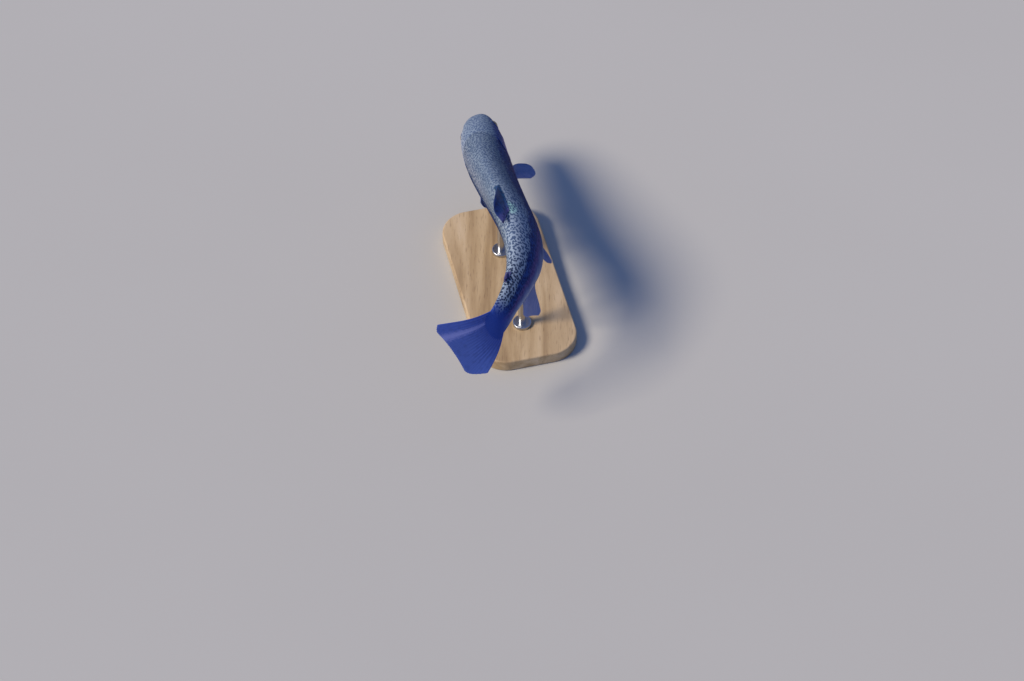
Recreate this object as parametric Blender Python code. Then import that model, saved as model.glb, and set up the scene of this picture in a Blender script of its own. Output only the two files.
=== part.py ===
"""A life-size rainbow trout, swimming in a left-hand turn, on a plain display stand.

The fish is modelled straight first: x runs from the snout to the tail, y to its right side
and z to its back, all in metres. Every piece is then laid along a bent and banked spine.
"""

import math

import bmesh
import bpy
import numpy as np
from mathutils import Matrix, Vector
from mathutils.bvhtree import BVHTree

# ---------------------------------------------------------------- driving sizes
LENGTH = 0.400  # snout to the tips of the tail
GAP = 0.00035  # between pieces that meet
ROUND = 32  # points round the body

# Station, height of the back, depth of the belly and half width, as shares of LENGTH,
# then how full the section is above and below its widest line (2 is an ellipse).
BODY = (
    (0.000, 0.017, 0.019, 0.022, 2.3, 2.3),
    (0.030, 0.032, 0.032, 0.038, 2.3, 2.1),
    (0.060, 0.045, 0.043, 0.047, 2.2, 1.9),
    (0.100, 0.059, 0.056, 0.054, 2.2, 1.8),
    (0.150, 0.073, 0.070, 0.058, 2.1, 1.9),
    (0.215, 0.087, 0.085, 0.058, 2.0, 2.1),
    (0.310, 0.099, 0.101, 0.054, 1.9, 2.3),
    (0.415, 0.102, 0.109, 0.050, 1.9, 2.4),
    (0.520, 0.094, 0.104, 0.047, 1.9, 2.3),
    (0.615, 0.075, 0.086, 0.039, 1.9, 2.1),
    (0.690, 0.054, 0.063, 0.029, 2.0, 2.0),
    (0.750, 0.044, 0.049, 0.022, 2.0, 2.0),
    (0.800, 0.039, 0.041, 0.018, 2.0, 2.0),
    (0.850, 0.039, 0.041, 0.011, 2.0, 2.0),
)
SNOUT_ROUNDING = 0.022  # share of LENGTH over which the snout closes
GILL_SLIT = 0.196  # head ends, trunk begins
STALK_START = 0.750  # trunk ends, tail stalk begins
STALK_END = 0.850  # tail stalk ends, tail fin begins

# The fish banks: its back leans towards its left side and a little forwards, so that it swims
# nose down, and it bends to the left within the plane of that bank. The heading is the angle
# in that plane from the level fish's way to the tail, towards its right side.
BANK, DIVE = 23.0, 7.0  # degrees
FIRST_HEADING = 9.0
SHOULDER_TURN = (8.0, 0.08, 0.38)  # degrees, first station, last station
TAIL_TURN = (-43.0, 0.44, 0.85)
TAIL_FLICK = (-48.0, 0.82, 0.956)
ANCHOR_STATION, ANCHOR = 0.46, (0.004, 0.000, 0.114)  # where the spine crosses the stand

# The eye: its place, its radius in the socket and how much it stands out.
EYE_STATION, EYE_HEIGHT = 0.076, 0.014
EYE_RADIUS, EYE_DEPTH, EYE_PROUD = 0.0070, 0.0052, 0.0013

# The gill cover, a rounded shield on each cheek.
COVER_CENTRE = (0.167, -0.008)
COVER_HALF = (0.044, 0.045)
COVER_FULLNESS = 2.4  # of the shield's rim (2 is an ellipse)
COVER_THICKNESS, COVER_PROUD = 0.0026, 0.0006

# The mouth: the lower jaw lies under these points of the side view, from the snout back.
MOUTH_LINE = ((-0.010, -0.004), (0.030, -0.008), (0.082, -0.022), (0.100, -0.040), (0.094, -0.090))

# Fins on the middle line: their first and last station, then the length (share of LENGTH) and
# the rake (degrees back from upright) of the first and last ray, and how far the tip leans.
DORSAL = (0.455, 0.556, ((0.105, 68), (0.058, 76)), -0.026)
ADIPOSE = (0.732, 0.754, ((0.032, 66), (0.018, 74)), 0.006)
ANAL = (0.655, 0.738, ((0.086, 42), (0.046, 57)), 0.010)
MEDIAN_BOW = 9.0  # degrees by which the tips of those rays bend back
MEDIAN_CORNERS = (0.16, 0.22)  # share lost by the first and the last ray at a rounded corner

# Paired fins: the station and the angle on the body's section of the first and last ray, then
# the length and the direction of those rays. The right pectoral brakes, the left one is folded.
PECTORAL_ROOTS = ((0.200, -42), (0.216, -56))
PELVIC_ROOTS = ((0.470, -66), (0.494, -73))
BRAKING = ((0.102, (-0.74, 0.45, -0.50)), (0.081, (-0.32, 0.75, -0.57)))
FOLDED = ((0.098, (0.98, 0.10, 0.14)), (0.060, (0.97, 0.06, -0.20)))
TRAILING = ((0.078, (0.90, 0.22, -0.36)), (0.046, (0.97, 0.06, -0.20)))
PAIRED_CORNERS = (0.15, 0.26)
PAIRED_CUP = 0.07  # how deep a paired fin is cupped, as a share of its rays
BRAKING_BOW = 0.18  # how far the braking fin's leading edge bows forward, likewise
FIN_EDGE = 0.0005  # half the thickness of a fin's edge
MEDIAN_ROOT, PAIRED_ROOT = 0.0013, 0.0012  # half the thickness of a fin's root
PECTORAL_LIFT, FOLDED_LIFT, PELVIC_LIFT = 0.0006, 0.0024, 0.0020  # of a root off the skin

# The tail fin, in shares of LENGTH.
TAIL_ROOT = 0.0345  # half the width where it leaves the stalk
UPPER_SPAN, LOWER_SPAN = 0.094, 0.0965  # of each lobe, from the middle ray
TAIL_FORK = 0.010  # how far the middle rays end before the upper tip
UPPER_ROUNDING, LOWER_ROUNDING = 0.011, 0.045  # how far the outermost rays end before the tips
UPPER_CORNER, LOWER_CORNER = 0.28, 0.42  # share of each lobe, from its edge ray, that is rounded
LOWER_LOBE_SHORT = 0.012  # how far the lower tip ends before the upper one
LOWER_CURL, UPPER_CURL = 0.013, 0.006  # how far the lobes trail, to the right and to the left

# The stand.
BASE_SIZE = (0.104, 0.214, 0.014)
BASE_TURN = 14.0  # degrees, so that the base lies along the trunk
BASE_CORNER, BASE_BEVEL = 0.030, 0.0018
ROD_STATIONS = (0.350, 0.612)
ROD_RADIUS, ROD_IN_BELLY, ROD_IN_BASE = 0.0038, 0.012, 0.007
COLLAR_RADIUS, COLLAR_HEIGHT = 0.0095, 0.0035


# ---------------------------------------------------------------- curves and sections
def eased(table, station, column=1):
    """A smooth curve through one column of a table of stations."""
    xs = [row[0] for row in table]
    ys = [row[column] for row in table]
    slopes = [(b - a) / (q - p) for a, b, p, q in zip(ys, ys[1:], xs, xs[1:])]
    tangents = [slopes[0]]
    for left, right in zip(slopes, slopes[1:]):
        same_way = left * right > 0
        tangents.append(2 * left * right / (left + right) if same_way else 0.0)
    tangents.append(slopes[-1])
    x = min(max(station, xs[0]), xs[-1])
    i = max(k for k in range(len(xs) - 1) if xs[k] <= x)
    step = xs[i + 1] - xs[i]
    t = (x - xs[i]) / step
    near = (1 + 2 * t) * (1 - t) ** 2 * ys[i] + t * (1 - t) ** 2 * step * tangents[i]
    far = t * t * (3 - 2 * t) * ys[i + 1] - t * t * (1 - t) * step * tangents[i + 1]
    return near + far


def smooth(start, end, value):
    t = min(max((value - start) / (end - start), 0.0), 1.0)
    return t * t * (3 - 2 * t)


def snout_closing(station):
    t = min(max(station / SNOUT_ROUNDING, 0.0), 1.0)
    return math.sqrt(1 - (1 - t) ** 2)


def half_sizes(station):
    """Back height, belly depth and half width there, in metres."""
    closing = snout_closing(station) * LENGTH
    return tuple(eased(BODY, station, column) * closing for column in (1, 2, 3))


def section_point(station, angle):
    """A point of the skin: angle 0 is the right side, 90 degrees the back."""
    back, belly, half_width = half_sizes(station)
    cos, sin = math.cos(angle), math.sin(angle)
    fullness = eased(BODY, station, 4 if sin > 0 else 5)
    height = back if sin > 0 else belly
    y = half_width * math.copysign(abs(cos) ** (2 / fullness), cos)
    z = height * math.copysign(abs(sin) ** (2 / fullness), sin)
    return Vector((station * LENGTH, y, z))


def half_width_at(station, z):
    """How far the skin is from the middle plane at height z."""
    back, belly, half_width = half_sizes(station)
    height = back if z > 0 else belly
    fullness = eased(BODY, station, 4 if z > 0 else 5)
    return half_width * max(0.0, 1 - abs(z / height) ** fullness) ** (1 / fullness)


# ---------------------------------------------------------------- the bent spine
def heading_at(station):
    turns = (SHOULDER_TURN, TAIL_TURN, TAIL_FLICK)
    turned = sum(turn * smooth(start, end, station) for turn, start, end in turns)
    return math.radians(FIRST_HEADING + turned)


def bank_axes():
    """The banked fish's own right, up and tailward directions where its heading is 0."""
    bank, dive = math.radians(BANK), math.radians(DIVE)
    forwards, upwards = math.sin(dive) * math.cos(bank), math.cos(dive) * math.cos(bank)
    up = Vector((-math.sin(bank), forwards, upwards))
    right = Vector((1, 0, 0)) - up * up.x
    right.normalize()
    return right, up, right.cross(up)


RIGHT, UP, TAILWARD = bank_axes()
SPINE_STATIONS = np.linspace(-0.05, 1.15, 481)


def spine_line():
    """The spine's points at SPINE_STATIONS."""
    ways = []
    for station in SPINE_STATIONS:
        heading = heading_at(station)
        ways.append(RIGHT * math.sin(heading) + TAILWARD * math.cos(heading))
    ways = np.array(ways)
    step = (SPINE_STATIONS[1] - SPINE_STATIONS[0]) * LENGTH
    line = np.concatenate([[[0, 0, 0]], np.cumsum((ways[1:] + ways[:-1]) / 2 * step, axis=0)])
    anchor = [np.interp(ANCHOR_STATION, SPINE_STATIONS, line[:, k]) for k in range(3)]
    return line - anchor + ANCHOR


SPINE = spine_line()


def laid_on_spine(point):
    """Moves a point of the straight fish to its place in the turning, banked one."""
    station = point.x / LENGTH
    heading = heading_at(station)
    to_right = RIGHT * math.cos(heading) - TAILWARD * math.sin(heading)
    middle = Vector([float(np.interp(station, SPINE_STATIONS, SPINE[:, k])) for k in range(3)])
    return middle + to_right * point.y + UP * point.z


# ---------------------------------------------------------------- mesh helpers
def material(name, colour, roughness, metallic=0.0):
    made = bpy.data.materials.new(name)
    made.use_nodes = True
    shader = made.node_tree.nodes["Principled BSDF"]
    shader.inputs["Base Color"].default_value = (*colour, 1)
    shader.inputs["Roughness"].default_value = roughness
    shader.inputs["Metallic"].default_value = metallic
    return made


def object_from(name, mesh_data, finish=None):
    mesh = bpy.data.meshes.new(name)
    mesh_data.to_mesh(mesh)
    mesh_data.free()
    made = bpy.data.objects.new(name, mesh)
    bpy.context.scene.collection.objects.link(made)
    if finish:
        mesh.materials.append(finish)
    return made


def carve(piece, cutter, operation="DIFFERENCE"):
    """Cuts piece with cutter, or keeps only what lies inside it, and drops the cutter."""
    modifier = piece.modifiers.new("carve", "BOOLEAN")
    modifier.object = cutter
    modifier.operation = operation
    modifier.solver = "EXACT"
    graph = bpy.context.evaluated_depsgraph_get()
    carved = bpy.data.meshes.new_from_object(piece.evaluated_get(graph))
    piece.modifiers.clear()
    piece.data = carved
    bpy.data.objects.remove(cutter)


def lay(piece):
    """Triangulates a straight piece and lays it on the spine."""
    mesh_data = bmesh.new()
    mesh_data.from_mesh(piece.data)
    bmesh.ops.triangulate(mesh_data, faces=mesh_data.faces[:])
    for vertex in mesh_data.verts:
        vertex.co = laid_on_spine(vertex.co)
    mesh_data.to_mesh(piece.data)
    mesh_data.free()
    piece.data.shade_smooth()
    piece.data.set_sharp_from_angle(angle=math.radians(50))
    return piece


def bridge(mesh_data, near, far):
    """Quads between two rings of vertices with the same count."""
    for i in range(len(near)):
        j = (i + 1) % len(near)
        mesh_data.faces.new((near[i], near[j], far[j], far[i]))


def loft(name, stations, finish):
    """A closed length of the body through sections at these stations."""
    mesh_data = bmesh.new()
    angles = [2 * math.pi * k / ROUND for k in range(ROUND)]
    rings = []
    for station in stations:
        if station == 0:
            continue
        rings.append([mesh_data.verts.new(section_point(station, a)) for a in angles])
    for near, far in zip(rings, rings[1:]):
        bridge(mesh_data, near, far)
    if stations[0] == 0:
        tip = mesh_data.verts.new((0, 0, 0))
        for i, vertex in enumerate(rings[0]):
            mesh_data.faces.new((tip, rings[0][(i + 1) % ROUND], vertex))
    else:
        mesh_data.faces.new(rings[0][::-1])
    mesh_data.faces.new(rings[-1])
    bmesh.ops.recalc_face_normals(mesh_data, faces=mesh_data.faces[:])
    return object_from(name, mesh_data, finish)


def sheet(name, place, across, along, finish):
    """A closed plate: place(u, v, side) is a point of its face on that side."""
    mesh_data = bmesh.new()
    faces = {}
    for side in (1, -1):
        faces[side] = [
            [mesh_data.verts.new(place(i / across, j / along, side)) for j in range(along + 1)]
            for i in range(across + 1)
        ]
    for side, grid in faces.items():
        for i in range(across):
            for j in range(along):
                corners = (grid[i][j], grid[i + 1][j], grid[i + 1][j + 1], grid[i][j + 1])
                mesh_data.faces.new(corners[::side])
    front, back = faces[1], faces[-1]
    rim = [(i, 0) for i in range(across)] + [(across, j) for j in range(along)]
    rim += [(i, along) for i in range(across, 0, -1)] + [(0, j) for j in range(along, 0, -1)]
    for (i, j), (k, m) in zip(rim, rim[1:] + rim[:1]):
        mesh_data.faces.new((front[i][j], back[i][j], back[k][m], front[k][m]))
    bmesh.ops.recalc_face_normals(mesh_data, faces=mesh_data.faces[:])
    return object_from(name, mesh_data, finish)


def prism(name, outline, half_depth):
    """A side-view outline, in metres, extruded to both sides."""
    mesh_data = bmesh.new()
    near = [mesh_data.verts.new((x, -half_depth, z)) for x, z in outline]
    far = [mesh_data.verts.new((x, half_depth, z)) for x, z in outline]
    bridge(mesh_data, near, far)
    mesh_data.faces.new(near)
    mesh_data.faces.new(far)
    bmesh.ops.recalc_face_normals(mesh_data, faces=mesh_data.faces[:])
    return object_from(name, mesh_data)


# ---------------------------------------------------------------- head
def snout_stations():
    """Stations that crowd where the snout is round."""
    count = 5
    return [SNOUT_ROUNDING * (1 - math.cos(math.pi / 2 * k / count)) for k in range(count)]


def make_head(finish):
    rest = list(np.linspace(SNOUT_ROUNDING, GILL_SLIT - GAP / 2 / LENGTH, 13))
    return loft("head", snout_stations() + [float(s) for s in rest], finish)


def jaw_outline(grown):
    """The lower jaw's side view, grown by a clearance on its upper and hind edges."""
    line = [(x * LENGTH + grown * 0.5, z * LENGTH + grown) for x, z in MOUTH_LINE]
    return line + [(-0.010 * LENGTH, -0.090 * LENGTH)]


def make_lower_jaw(head, finish):
    jaw = head.copy()
    jaw.data = head.data.copy()
    jaw.name = "lower_jaw"
    bpy.context.scene.collection.objects.link(jaw)
    reach = 0.1 * LENGTH
    carve(jaw, prism("jaw_kept", jaw_outline(0), reach), "INTERSECT")
    carve(head, prism("jaw_cut", jaw_outline(GAP), reach))
    jaw.data.materials.clear()
    jaw.data.materials.append(finish)
    return jaw


def cover_point(turn, reach, inset, side):
    """A point of the gill cover's shield, from its middle (reach 0) to its rim (1)."""
    cos, sin = math.cos(turn), math.sin(turn)
    across = math.copysign(abs(cos) ** (2 / COVER_FULLNESS), cos) * reach
    upwards = math.copysign(abs(sin) ** (2 / COVER_FULLNESS), sin) * reach
    station = COVER_CENTRE[0] + COVER_HALF[0] * across
    z = (COVER_CENTRE[1] + COVER_HALF[1] * upwards) * LENGTH
    return Vector((station * LENGTH, side * (half_width_at(station, z) - inset), z))


def shield(name, side, outer_inset, inner_inset, grown, finish=None):
    """The gill cover as a closed plate, or its recess when grown by a clearance."""
    mesh_data = bmesh.new()
    turns = [2 * math.pi * k / 28 for k in range(28)]
    rings = 3
    growth = 1 + grown / (COVER_HALF[0] * LENGTH)
    layers = []
    for inset in (outer_inset, inner_inset):
        middle = mesh_data.verts.new(cover_point(0, 0, inset, side))
        loops = []
        for ring in range(1, rings + 1):
            reach = growth * ring / rings
            loops.append([mesh_data.verts.new(cover_point(t, reach, inset, side)) for t in turns])
        for i, vertex in enumerate(loops[0]):
            mesh_data.faces.new((middle, vertex, loops[0][(i + 1) % len(turns)]))
        for near, far in zip(loops, loops[1:]):
            bridge(mesh_data, near, far)
        layers.append(loops[-1])
    bridge(mesh_data, *layers)
    bmesh.ops.recalc_face_normals(mesh_data, faces=mesh_data.faces[:])
    return object_from(name, mesh_data, finish)


def make_gill_cover(name, side, carved, finish):
    """The cover, let into the pieces that it lies over."""
    for piece in carved:
        recess = shield("recess", side, -0.006, COVER_THICKNESS + GAP, GAP)
        carve(piece, recess)
    return shield(name, side, -COVER_PROUD, COVER_THICKNESS, 0, finish)


def eyeball(name, side, grown, finish=None):
    """A flattened ball that looks out along the cheek's own normal."""
    z = EYE_HEIGHT * LENGTH
    step = 0.002
    fore = half_width_at(EYE_STATION - step, z)
    aft = half_width_at(EYE_STATION + step, z)
    above = half_width_at(EYE_STATION, z + step * LENGTH)
    below = half_width_at(EYE_STATION, z - step * LENGTH)
    run = 2 * step * LENGTH
    normal = Vector(((fore - aft) / run, 1, (below - above) / run)).normalized()
    skin = Vector((EYE_STATION * LENGTH, half_width_at(EYE_STATION, z), z))
    centre = skin + normal * (EYE_PROUD - EYE_DEPTH)
    mesh_data = bmesh.new()
    bmesh.ops.create_uvsphere(mesh_data, u_segments=16, v_segments=8, radius=1)
    scale = Matrix.Diagonal((EYE_RADIUS + grown, EYE_RADIUS + grown, EYE_DEPTH + grown, 1))
    turn = normal.to_track_quat("Z", "Y").to_matrix().to_4x4()
    place = Matrix.Translation(centre) @ turn @ scale
    bmesh.ops.transform(mesh_data, matrix=place, verts=mesh_data.verts)
    if side < 0:
        bmesh.ops.scale(mesh_data, vec=(1, -1, 1), verts=mesh_data.verts)
        bmesh.ops.reverse_faces(mesh_data, faces=mesh_data.faces[:])
    return object_from(name, mesh_data, finish)


# ---------------------------------------------------------------- fins
def half_thickness(u, root):
    """Half the thickness of a fin, from its root (u 0) to its edge (1)."""
    return FIN_EDGE + (root - FIN_EDGE) * (1 - smooth(0, 0.45, u))


def corner(from_edge, width):
    """Grows smoothly from 0 to 1 over the last part of a fin before its edge ray."""
    return max(0.0, 1 - from_edge / width) ** 2


def median_fin(name, form, finish, above=True, counts=(9, 10)):
    """A fin on the middle line, on the back or under the belly."""
    first, last, ((first_length, first_rake), (last_length, last_rake)), lean = form
    way = 1 if above else -1

    def place(u, v, side):
        station = first + (last - first) * v
        column = 1 if above else 2
        root = Vector((station * LENGTH, 0, way * (eased(BODY, station, column) * LENGTH + GAP)))
        reach = first_length + (last_length - first_length) * v**0.8
        reach *= 1 - MEDIAN_CORNERS[0] * corner(v, 0.16) * u
        reach *= 1 - MEDIAN_CORNERS[1] * corner(1 - v, 0.2) * u
        rake = math.radians(first_rake + (last_rake - first_rake) * v + MEDIAN_BOW * u * u)
        out = Vector((math.sin(rake), 0, way * math.cos(rake))) * reach * LENGTH * u
        bend = lean * LENGTH * (reach / first_length) * u**1.7
        return root + out + Vector((0, bend + side * half_thickness(u, MEDIAN_ROOT), 0))

    return sheet(name, place, *counts, finish)


def tail_fin_point(u, v, side):
    """u runs along a ray, v from the lowest ray (0) to the highest (1)."""
    spread = 2 * v - 1
    lower = max(0.0, -spread)
    span, rounding, rounded = UPPER_SPAN, UPPER_ROUNDING, UPPER_CORNER
    if spread < 0:
        span, rounding, rounded = LOWER_SPAN, LOWER_ROUNDING, LOWER_CORNER
    fork = TAIL_FORK * (1 - min(1.0, abs(spread) / 0.8) ** 1.5)
    root_z = spread * TAIL_ROOT * LENGTH
    end_z = math.copysign(abs(spread) ** 0.93, spread) * span * LENGTH
    shortened = rounding * corner(1 - abs(spread), rounded) + LOWER_LOBE_SHORT * lower
    end_x = (1 - fork - shortened) * LENGTH
    start_x = STALK_END * LENGTH + GAP
    x = start_x + (end_x - start_x) * u
    z = root_z + (end_z - root_z) * u ** (1.12 - 0.25 * abs(spread))
    y = (LOWER_CURL * lower**1.3 - UPPER_CURL * max(0.0, spread)) * LENGTH * u**1.8
    stalk_half = half_width_at(STALK_END, root_z)
    half = FIN_EDGE + max(0.0, stalk_half - FIN_EDGE) * (1 - smooth(0, 0.30, u))
    return Vector((x, y + side * half, z))


def paired_fin(name, side, roots, rays, lift, finish, bow=0.0, counts=(7, 10)):
    """A fin on one side, whose root stands off the skin by lift."""
    (first_station, first_angle), (last_station, last_angle) = roots
    (first_length, first_way), (last_length, last_way) = rays
    first_way, last_way = Vector(first_way).normalized(), Vector(last_way).normalized()
    normal = first_way.cross(last_way).normalized()
    leading = (first_way - last_way).normalized()
    first_cut, last_cut = PAIRED_CORNERS

    def place(u, v, face):
        station = first_station + (last_station - first_station) * v
        angle = math.radians(first_angle + (last_angle - first_angle) * v)
        skin = section_point(station, angle)
        outward = Vector((0, math.cos(angle), math.sin(angle)))
        reach = first_length + (last_length - first_length) * v**0.9
        reach *= 1 - first_cut * corner(v, 0.3) - last_cut * corner(1 - v, 0.45)
        way = first_way.lerp(last_way, v).normalized()
        bend = normal * PAIRED_CUP * u * u + leading * bow * 4 * u * (1 - u) * (1 - v)
        middle = skin + outward * lift + (way * u + bend) * reach * LENGTH
        point = middle + normal * face * half_thickness(u, PAIRED_ROOT)
        return Vector((point.x, side * point.y, point.z))

    return sheet(name, place, *counts, finish)


# ---------------------------------------------------------------- stand
def rounded_outline(width, depth, corner, steps=6):
    """Corner arcs of a rounded rectangle, anticlockwise."""
    points = []
    for quarter in range(4):
        cx = (width / 2 - corner) * (1 if quarter in (0, 3) else -1)
        cy = (depth / 2 - corner) * (1 if quarter in (0, 1) else -1)
        for step in range(steps + 1):
            angle = math.radians(90 * (quarter + step / steps))
            points.append((cx + corner * math.cos(angle), cy + corner * math.sin(angle)))
    return points


def make_base(finish):
    width, depth, height = BASE_SIZE
    mesh_data = bmesh.new()
    outline = rounded_outline(width, depth, BASE_CORNER)
    foot = mesh_data.faces.new([mesh_data.verts.new((x, y, 0)) for x, y in outline])
    raised = bmesh.ops.extrude_face_region(mesh_data, geom=[foot])
    top = [item for item in raised["geom"] if isinstance(item, bmesh.types.BMVert)]
    bmesh.ops.translate(mesh_data, vec=(0, 0, height), verts=top)
    bmesh.ops.recalc_face_normals(mesh_data, faces=mesh_data.faces[:])
    base = object_from("stand_base", mesh_data, finish)
    base.rotation_euler.z = math.radians(BASE_TURN)
    bevel = base.modifiers.new("softened_edges", "BEVEL")
    bevel.width = BASE_BEVEL
    bevel.segments = 2
    bevel.limit_method = "ANGLE"
    return base


def lathe(name, profile, finish=None, sides=20):
    """A round piece turned from (radius, height) pairs, bottom to top."""
    mesh_data = bmesh.new()
    rings = []
    turns = [2 * math.pi * k / sides for k in range(sides)]
    for radius, z in profile:
        ring = [(radius * math.cos(t), radius * math.sin(t), z) for t in turns]
        rings.append([mesh_data.verts.new(point) for point in ring])
    for near, far in zip(rings, rings[1:]):
        bridge(mesh_data, near, far)
    mesh_data.faces.new(rings[0][::-1])
    mesh_data.faces.new(rings[-1])
    bmesh.ops.recalc_face_normals(mesh_data, faces=mesh_data.faces[:])
    return object_from(name, mesh_data, finish)


def make_rod(name, station, trunk, base, finish):
    """A rod with a collar, from a hole in the base to a hole in the belly over it."""
    under = laid_on_spine(Vector((station * LENGTH, 0, 0)))
    tree = BVHTree.FromObject(trunk, bpy.context.evaluated_depsgraph_get())
    belly = tree.ray_cast(Vector((under.x, under.y, 0)), Vector((0, 0, 1)))[0]
    base_top = BASE_SIZE[2]
    foot, top = base_top - ROD_IN_BASE, belly.z + ROD_IN_BELLY
    seat = base_top + GAP
    collar = seat + COLLAR_HEIGHT
    profile = [
        (ROD_RADIUS, foot),
        (ROD_RADIUS, seat),
        (COLLAR_RADIUS, seat),
        (COLLAR_RADIUS, collar - 0.001),
        (COLLAR_RADIUS - 0.001, collar),
        (ROD_RADIUS, collar),
        (ROD_RADIUS, top),
    ]
    rod = lathe(name, profile, finish)
    rod.location = (under.x, under.y, 0)
    hole = ROD_RADIUS + GAP
    for piece, low, high in ((trunk, belly.z - 0.03, top + GAP), (base, foot - GAP, base_top + 0.03)):
        drill = lathe(f"{name}_drill_{piece.name}", [(hole, low), (hole, high)])
        drill.location = rod.location
        drill.hide_render = True
        drill.display_type = "WIRE"
        bored = piece.modifiers.new(f"hole_for_{name}", "BOOLEAN")
        bored.object = drill
        bored.solver = "EXACT"
    return rod


# ---------------------------------------------------------------- the whole fish
def main():
    for old in list(bpy.data.objects):
        bpy.data.objects.remove(old)

    skin = material("speckled_skin", (0.13, 0.17, 0.24), 0.35)
    cheek = material("cheek_skin", (0.20, 0.20, 0.27), 0.30)
    fin = material("fin_membrane", (0.05, 0.06, 0.16), 0.45)
    pale_fin = material("lower_fin_membrane", (0.16, 0.13, 0.20), 0.45)
    cornea = material("eye", (0.02, 0.02, 0.02), 0.05)
    timber = material("oak", (0.42, 0.30, 0.17), 0.50)
    steel = material("brushed_steel", (0.60, 0.60, 0.62), 0.30, 1.0)

    head = make_head(skin)
    jaw = make_lower_jaw(head, skin)
    gap = GAP / 2 / LENGTH
    trunk_stations = np.linspace(GILL_SLIT + gap, STALK_START - gap, 25)
    trunk = loft("trunk", [float(s) for s in trunk_stations], skin)
    stalk_stations = np.linspace(STALK_START + gap, STALK_END, 8)
    stalk = loft("tail_stalk", [float(s) for s in stalk_stations], skin)

    covers = [
        make_gill_cover("gill_cover_right", 1, (head, trunk), cheek),
        make_gill_cover("gill_cover_left", -1, (head, trunk), cheek),
    ]
    eyes = []
    for name, side in (("eye_right", 1), ("eye_left", -1)):
        carve(head, eyeball("socket", side, GAP))
        eyes.append(eyeball(name, side, 0, cornea))

    fins = [
        median_fin("dorsal_fin", DORSAL, fin),
        median_fin("adipose_fin", ADIPOSE, fin, counts=(6, 5)),
        median_fin("anal_fin", ANAL, pale_fin, above=False),
        sheet("caudal_fin", tail_fin_point, 9, 16, fin),
        paired_fin(
            "pectoral_fin_right", 1, PECTORAL_ROOTS, BRAKING, PECTORAL_LIFT, fin, BRAKING_BOW
        ),
        paired_fin("pectoral_fin_left", -1, PECTORAL_ROOTS, FOLDED, FOLDED_LIFT, fin),
        paired_fin("pelvic_fin_right", 1, PELVIC_ROOTS, TRAILING, PELVIC_LIFT, pale_fin),
        paired_fin("pelvic_fin_left", -1, PELVIC_ROOTS, TRAILING, PELVIC_LIFT, pale_fin),
    ]
    for piece in [head, jaw, trunk, stalk, *covers, *eyes, *fins]:
        lay(piece)

    base = make_base(timber)
    for name, station in zip(("stand_rod_front", "stand_rod_rear"), ROD_STATIONS):
        make_rod(name, station, trunk, base, steel)


main()
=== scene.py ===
# %% [markdown]
# # A rainbow trout on a display stand
#
# A museum shows a fish as a cast: a body with its skin, scales and fins, held over a board
# by slim rods. The plain solids of that model are loaded first. They carry its weight and
# its outline, and this lesson dresses them. The fish is drawn straight, in a frame of its
# own (x from snout to tail, y to its right side, z to its back), because every fin, bone and
# scale has an easy place there. The same bend as the solids' then lays it in its turn.

# %% Load the solids and keep their box
import math

import bpy
import numpy as np
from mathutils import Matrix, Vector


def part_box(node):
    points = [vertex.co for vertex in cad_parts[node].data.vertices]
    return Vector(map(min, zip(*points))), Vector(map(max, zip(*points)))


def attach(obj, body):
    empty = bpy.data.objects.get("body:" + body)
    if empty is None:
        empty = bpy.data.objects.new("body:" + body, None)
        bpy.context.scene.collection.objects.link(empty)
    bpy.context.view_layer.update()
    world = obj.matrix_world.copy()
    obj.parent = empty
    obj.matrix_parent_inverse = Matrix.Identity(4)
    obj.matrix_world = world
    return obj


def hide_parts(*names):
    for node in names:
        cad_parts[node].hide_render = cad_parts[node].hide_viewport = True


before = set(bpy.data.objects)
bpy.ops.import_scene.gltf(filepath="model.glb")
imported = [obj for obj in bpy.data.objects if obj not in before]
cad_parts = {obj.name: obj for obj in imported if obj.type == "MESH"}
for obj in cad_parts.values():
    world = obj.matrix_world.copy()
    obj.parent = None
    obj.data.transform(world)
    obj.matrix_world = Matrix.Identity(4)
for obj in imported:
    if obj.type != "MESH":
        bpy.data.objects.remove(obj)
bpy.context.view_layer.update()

print("solids:", ", ".join(sorted(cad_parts)))

# %% [markdown]
# ## The body's form
#
# A trout is a spindle: each cut across it is a rounded oval that is fuller below than above.
# A table of stations along the body holds how high, deep and wide each cut is. It could be
# sculpted by hand, but a table can be read, compared with a real fish and used again by the
# skin, the scales and the fins, so all of them fit each other. The numbers are the solids' own.

# %% The table of the body and curves through it
LENGTH = 0.400  # metres, snout to the tips of the tail
MM = 0.001

# Station, back height, belly depth, half width (shares of LENGTH), fullness above and below.
BODY = np.array((
    (0.000, 0.017, 0.019, 0.022, 2.3, 2.3),
    (0.030, 0.032, 0.032, 0.038, 2.3, 2.1),
    (0.060, 0.045, 0.043, 0.047, 2.2, 1.9),
    (0.100, 0.059, 0.056, 0.054, 2.2, 1.8),
    (0.150, 0.073, 0.070, 0.058, 2.1, 1.9),
    (0.215, 0.087, 0.085, 0.058, 2.0, 2.1),
    (0.310, 0.099, 0.101, 0.054, 1.9, 2.3),
    (0.415, 0.102, 0.109, 0.050, 1.9, 2.4),
    (0.520, 0.094, 0.104, 0.047, 1.9, 2.3),
    (0.615, 0.075, 0.086, 0.039, 1.9, 2.1),
    (0.690, 0.054, 0.063, 0.029, 2.0, 2.0),
    (0.750, 0.044, 0.049, 0.022, 2.0, 2.0),
    (0.800, 0.039, 0.041, 0.018, 2.0, 2.0),
    (0.850, 0.039, 0.041, 0.011, 2.0, 2.0),
))
BACK, BELLY, WIDTH, FULL_ABOVE, FULL_BELOW = 1, 2, 3, 4, 5
SNOUT_ROUNDING = 0.022
STALK_END = 0.850


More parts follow.
